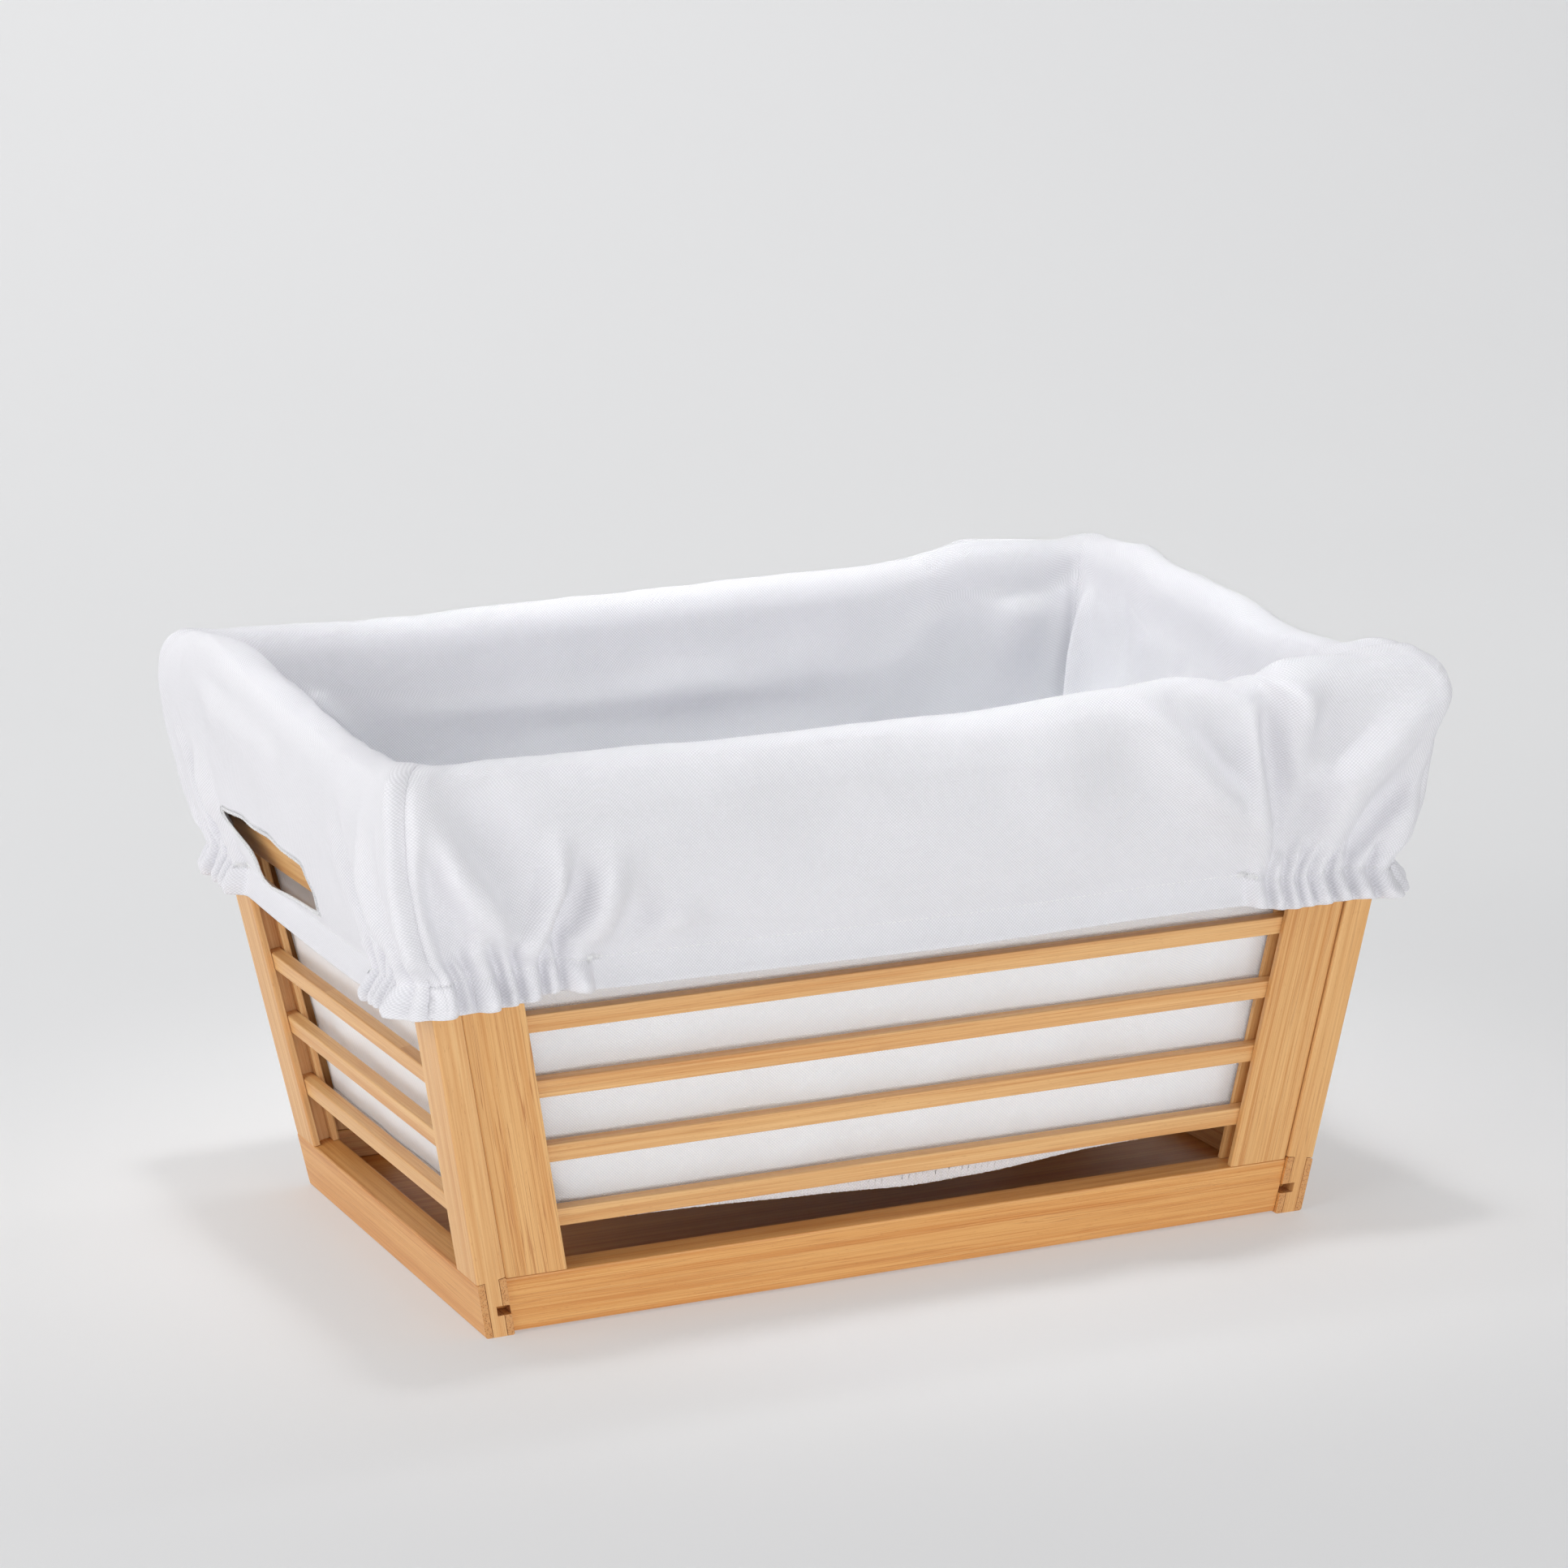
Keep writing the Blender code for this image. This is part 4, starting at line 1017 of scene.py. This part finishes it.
def elastic_bands(wall, mat):
    """Flat elastic inside the hem, round each corner."""
    out = []
    for cols, corner in zip(wall.holds, ("back_left", "front_left", "front_right", "back_right")):
        pick, rows = slice(cols[0], cols[-1] + 1), slice(2, 7)
        P = wall.P[:, rows, pick] - wall.N[:, rows, pick] * 0.55
        UV = np.stack(np.broadcast_arrays(wall.A[rows, pick], wall.t[rows, None]))
        ob = sheet_object("elastic_band_" + corner, P, UV, mat, thick=0.4)
        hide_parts("elastic_" + corner)
        out.append(ob)
    return out


def make_bottom(wall, cloth, overlock):
    """Bottom panel, sagging between its seams, and the overlocked allowance under the seam."""
    m, n = 121, 81
    front, right, back, left = (wall.floor[s].T for s in ("front", "right", "back", "left"))

    def spread(line, count):
        arc = np.concatenate([[0], np.cumsum(np.linalg.norm(np.diff(line, axis=0), axis=1))])
        return np.stack([np.interp(np.linspace(0, arc[-1], count), arc, line[:, k]) for k in range(3)], 1)

    f, b = spread(front, m), spread(back, m)[::-1]          # both left to right
    l, r = spread(left, n)[::-1], spread(right, n)          # both front to back
    u, v = np.linspace(0, 1, m)[None, :, None], np.linspace(0, 1, n)[:, None, None]
    G = (1 - v) * f[None] + v * b[None] + (1 - u) * l[:, None] + u * r[:, None]
    G -= (1 - u) * (1 - v) * f[0] + u * (1 - v) * f[-1] + (1 - u) * v * b[0] + u * v * b[-1]
    inset = np.minimum(np.minimum(u, 1 - u) * 420, np.minimum(v, 1 - v) * 260)[:, :, 0]
    G[:, :, 2] -= 6.5 * (1 - np.exp(-inset / 28.0))
    G[:, :, 2] += 1.3 * wave_noise(G[:, :, 0], G[:, :, 1], 44, 80.0) * (1 - np.exp(-inset / 14.0))
    G = G.transpose(2, 0, 1)
    bottom = sheet_object("liner_bottom", G, G[:2].copy(), cloth)
    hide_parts("bag_bottom")

    loop = wall.P0[:, -1]
    loop = np.concatenate([loop, loop[:, :1]], 1).T
    seam = even_steps(loop, 1.5)
    seam = np.concatenate([seam, seam[:1]], 0)
    away = unit(seam * [1, 1, 0])
    tangent = unit(np.gradient(seam, axis=0))
    away = unit(np.cross(tangent, [[0.0, 0, 1]]))
    rng = np.random.default_rng(23)
    flare = wave_noise(np.arange(len(seam)) * 1.5, 0.0, 24, 40.0) * 0.5
    depths = (0.0, 1.6, 3.2, 4.8, 6.0)
    strip = np.stack([seam + away * (0.35 + (0.08 + 0.05 * flare[:, None]) * d) - np.array([[0, 0, 1.0]]) * d
                      for d in depths], 1).transpose(2, 1, 0)
    arc = np.arange(len(seam)) * 1.5
    UV = np.stack(np.broadcast_arrays(arc[None], -np.array(depths)[:, None]))
    flap = sheet_object("bottom_seam_allowance", strip, UV, cloth, thick=0.5)
    both = even_steps(np.concatenate([strip[:, 0].T, strip[:, -1].T, away], 1), 0.45)
    phase = 2 * math.pi * np.arange(len(both)) * 0.45 / 3.6
    lift = np.clip(0.5 - 0.56 * np.cos(phase), 0, 1)[:, None]
    lean = 0.7 * np.sin(phase)[:, None] * unit(np.gradient(both[:, :3], axis=0))
    fuzz = rng.normal(0, 0.10, (len(both), 3))
    mid = both[:, :3] * (1 - lift) + both[:, 3:6] * lift
    tubes = [tube(mid + both[:, 6:9] * 0.42 + lean + fuzz, 0.30),
             tube(both[:, :3] + both[:, 6:9] * 0.32 + fuzz * 0.6, 0.25),
             tube(both[:, 3:6] + both[:, 6:9] * 0.15 - [0, 0, 0.1] + fuzz, 0.42)]
    chain = thread_object("bottom_seam_overlock", tubes, overlock)
    return bottom


def weave(name, through, depth, painted_light_tint=(1.0, 1.0, 1.0)):
    """White basket-weave cloth: raised yarn crossings in a staggered grid, on the cut's own coordinates. Where it
    hangs as a single layer more light comes through it."""
    s = Shader(name)
    uv = s.node("ShaderNodeUVMap", uv_map="cut").outputs[0]
    x, y, _ = s.split(uv)
    k = 2 * math.pi / (1.6 * MM)
    wander = s.noise(uv, 90.0, 2.0)
    wx = s.math("SINE", s.math("MULTIPLY", s.math("MULTIPLY_ADD", wander, 0.0012, x), k))
    wy = s.math("SINE", s.math("MULTIPLY", s.math("MULTIPLY_ADD", wander, 0.0009, y), k))
    dot = s.ramp(s.math("MULTIPLY", wx, wy), -0.55, 0.65)
    along = s.noise(s.join(s.math("MULTIPLY", x, 90.0), s.math("MULTIPLY", y, 1500.0), 0.0), 1.0, 2.0)
    across = s.noise(s.join(s.math("MULTIPLY", x, 1500.0), s.math("MULTIPLY", y, 90.0), 3.0), 1.0, 2.0)
    cloud = s.noise(uv, 14.0, 3.0)
    # the yarn crossings are light and the gaps between them darker: painted shade in the weave's hollows
    base = s.mix(dot, (0.722, 0.717, 0.753), (0.868, 0.863, 0.899))
    base = s.mix(s.math("MULTIPLY", s.ramp(along, 0.55, 0.8), 0.35), base, (0.700, 0.694, 0.730))
    base = s.mix(s.math("MULTIPLY", s.ramp(cloud, 0.35, 0.7), 0.25), base, (0.870, 0.864, 0.906))
    # below the rim, where the cloth hangs as the bag, it is drawn lighter and a little cooler than in the skirt:
    # painted light, for the light that comes through the bag's single layer and for a cooler light than the wood's warm
    # bounce gives
    low, high = (tuple(min(0.99, v * k) for v, k in zip(c, painted_light_tint)) for c in ((0.845, 0.858, 0.895), (0.945, 0.957, 0.985)))
    base = s.mix(s.ramp(y, 0.15, 0.26), base, s.mix(dot, low, high))
    s.put(s.bsdf.inputs["Base Color"], base)
    s.put(s.bsdf.inputs["Roughness"], s.math("MULTIPLY_ADD", dot, -0.12, 0.92))
    height = s.math("MULTIPLY_ADD", s.math("ADD", along, across), 0.22, dot)
    s.put(s.bsdf.inputs["Normal"], s.bump(height, 0.00024, 0.6))
    s.bsdf.inputs["Specular IOR Level"].default_value = 0.25
    s.bsdf.inputs["Subsurface Weight"].default_value = through
    s.bsdf.inputs["Subsurface Radius"].default_value = (1.0, 1.0, 1.05)
    s.bsdf.inputs["Subsurface Scale"].default_value = depth
    s.bsdf.inputs["Sheen Weight"].default_value = 0.12
    s.bsdf.inputs["Sheen Roughness"].default_value = 0.5
    return s.mat


def thread_finish(name, light, dark, rough):
    s = Shader(name)
    place = s.node("ShaderNodeTexCoord").outputs["Object"]
    twist = s.noise(place, 2400.0, 2.0)
    s.put(s.bsdf.inputs["Base Color"], s.mix(s.ramp(twist, 0.35, 0.65), dark, light))
    s.put(s.bsdf.inputs["Roughness"], s.math("MULTIPLY_ADD", twist, 0.2, rough))
    s.put(s.bsdf.inputs["Normal"], s.bump(twist, 0.0001, 0.5))
    s.bsdf.inputs["Sheen Weight"].default_value = 0.15
    return s.mat


def make_liner():
    skirt = Skirt()
    skirt.solve(steps=100)
    wall = Wall(skirt)
    cloth, single = weave("liner_cloth", 0.12, 0.0008), weave("liner_cloth_single", 0.20, 0.0010)
    # on the wrong side, seen between the slats, the bag is tinted bluer still: painted cool light, against the wood's
    # warm bounce
    wrong = weave("liner_cloth_wrong_side_painted_cool", 0.20, 0.0010, (0.985, 1.01, 1.05))
    sewing = thread_finish("sewing_thread", (0.95, 0.95, 0.95), (0.84, 0.84, 0.85), 0.5)
    overlock = thread_finish("overlock_thread", (0.93, 0.93, 0.94), (0.70, 0.70, 0.71), 0.6)
    rubber = thread_finish("elastic_band", (0.86, 0.86, 0.85), (0.62, 0.62, 0.60), 0.6)
    stitching, tacks = hem_threads(wall, sewing), bartacks(wall, sewing)
    bands = elastic_bands(wall, rubber)
    extra = {"front": [stitching, tacks] + bands[1:3], "back": [bands[0], bands[3]], "left": [], "right": []}
    for side in ("front", "back", "left", "right"):
        G, N, UV = wall.panel(side)
        hole = None
        if side in ("left", "right"):
            G = sag_hole(G, N, UV)
            rows = int(np.searchsorted(wall.t, 62))
            G[:, :rows], UV[:, :rows] = fit_hole(G[:, :rows], UV[:, :rows])
            extra[side].append(hole_edging(side, G, UV, overlock))
            hole = lambda p: slot_distance(p[0], p[1]) < -0.02
        N = surface_normals(G)
        # hem: turned up on the wrong side, with a rounded lower edge
        up = np.arange(STITCH + 1)
        depth = np.interp(wall.t[up], [0, 3, 8, 13, 15], [1.0, 1.5, 1.7, 1.3, 0.75])[None, :, None]
        inner = G[:, up] - N[:, up] * depth
        edge = G[:, :1] - N[:, :1] * 0.45 - (G[:, 1:2] - G[:, :1]) * 0.25
        body = np.concatenate([inner[:, ::-1], edge, G], axis=1)
        flat = np.concatenate([np.stack([UV[0, up], -1.2 - UV[1, up]])[:, ::-1],
                               np.stack([UV[0, :1], UV[1, :1] - 0.6]), UV], axis=1)
        body, flat = turn_under(body, surface_normals(body), flat)
        ob = sheet_object("liner_" + side, body, flat, cloth, hole=hole)
        ob.data.materials.append(single)
        ob.data.materials.append(wrong)
        ob.modifiers["thickness"].material_offset = 1
        ob.modifiers["thickness"].material_offset_rim = 1
        uv = np.empty(len(ob.data.loops) * 2, np.float32)
        ob.data.uv_layers["cut"].data.foreach_get("uv", uv)
        starts = np.empty(len(ob.data.polygons), np.int32)
        ob.data.polygons.foreach_get("loop_start", starts)
        ob.data.polygons.foreach_set("material_index", (uv[1::2][starts] > 0.150).astype(np.int32))
        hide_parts("bag_" + side, "skirt_" + side)
    make_bottom(wall, single, overlock)


# --- studio -------------------------------------------------------------------------------------
def make_stage():
    """Seamless sheet: floor, a wide bend, and a wall behind."""
    front, turn, radius, top, half = -6.0, 1.5, 1.6, 6.0, 7.0
    outline = [(front, 0.0), (-1.0, 0.0), (turn, 0.0)]
    for k in range(1, 25):
        a = math.pi / 2 * k / 24
        outline.append((turn + radius * math.sin(a), radius * (1 - math.cos(a))))
    outline.append((turn + radius, top))
    mesh = bpy.data.meshes.new("studio_sweep")
    verts = [(x, y, z) for y, z in outline for x in (-half, half)]
    faces = [(2 * k, 2 * k + 1, 2 * k + 3, 2 * k + 2) for k in range(len(outline) - 1)]
    mesh.from_pydata(verts, [], faces)
    mesh.shade_smooth()
    ob = bpy.data.objects.new("studio_sweep", mesh)
    bpy.context.scene.collection.objects.link(ob)
    s = Shader("studio_paper")
    place = s.node("ShaderNodeTexCoord").outputs["Object"]
    mottle = s.noise(place, 3.0, 3.0)
    s.put(s.bsdf.inputs["Base Color"], s.mix(mottle, (0.503, 0.501, 0.504), (0.517, 0.515, 0.518)))
    s.bsdf.inputs["Roughness"].default_value = 0.8
    s.bsdf.inputs["Specular IOR Level"].default_value = 0.2
    # the sheet is translucent and lit a little from underneath
    s.bsdf.inputs["Emission Color"].default_value = (0.98, 0.99, 1.0, 1.0)
    s.bsdf.inputs["Emission Strength"].default_value = 0.32
    mesh.materials.append(s.mat)


def area_light(name, at, aim, size, power, colour=(1, 1, 1), spread=180.0):
    data = bpy.data.lights.new(name, "AREA")
    data.shape = "RECTANGLE"
    data.size, data.size_y = size
    data.energy = power
    data.color = colour
    data.spread = math.radians(spread)
    ob = bpy.data.objects.new(name, data)
    ob.location = at
    ob.rotation_euler = (Vector(aim) - Vector(at)).to_track_quat("-Z", "Y").to_euler()
    bpy.context.scene.collection.objects.link(ob)


LIGHTS = [      # name, place, aim, size, watts, colour, spread
    ("key", (-3.0, -0.5, 1.15), (0, 0, 0.15), (3.0, 2.4), 56.0, (1.0, 0.995, 0.99)),
    ("front", (0.0, -3.6, 0.45), (0, 0, 0.2), (4.4, 0.85), 60.0, (1.0, 1.0, 1.0)),
    ("fill", (2.9, -1.2, 1.0), (0, 0, 0.2), (2.4, 1.8), 8.0, (0.98, 0.99, 1.0)),
    ("overhead", (0.1, -0.5, 3.0), (0.1, 0, 0.2), (3.4, 2.4), 9.0, (1.0, 1.0, 1.0)),
    ("inside", (-0.05, -0.15, 2.3), (0.03, 0.03, 0.2), (0.40, 0.26), 0.62, (1.0, 1.0, 1.0), 24.0),
    ("backdrop", (0.5, 0.8, 2.9), (0.5, 3.1, 0.8), (3.6, 0.8), 41.0, (1.0, 1.0, 1.0)),
]
AIR = 0.17


def make_lights():
    for light in LIGHTS:
        area_light(*light)
    world = bpy.data.worlds.new("studio_air")
    world.use_nodes = True
    air = world.node_tree.nodes["Background"]
    air.inputs["Color"].default_value = (0.97, 0.98, 1.0, 1.0)
    air.inputs["Strength"].default_value = AIR
    bpy.context.scene.world = world
    bpy.context.scene.view_settings.view_transform = "Standard"


make_camera()
make_stage()
make_lights()
finish_wood()
make_liner()
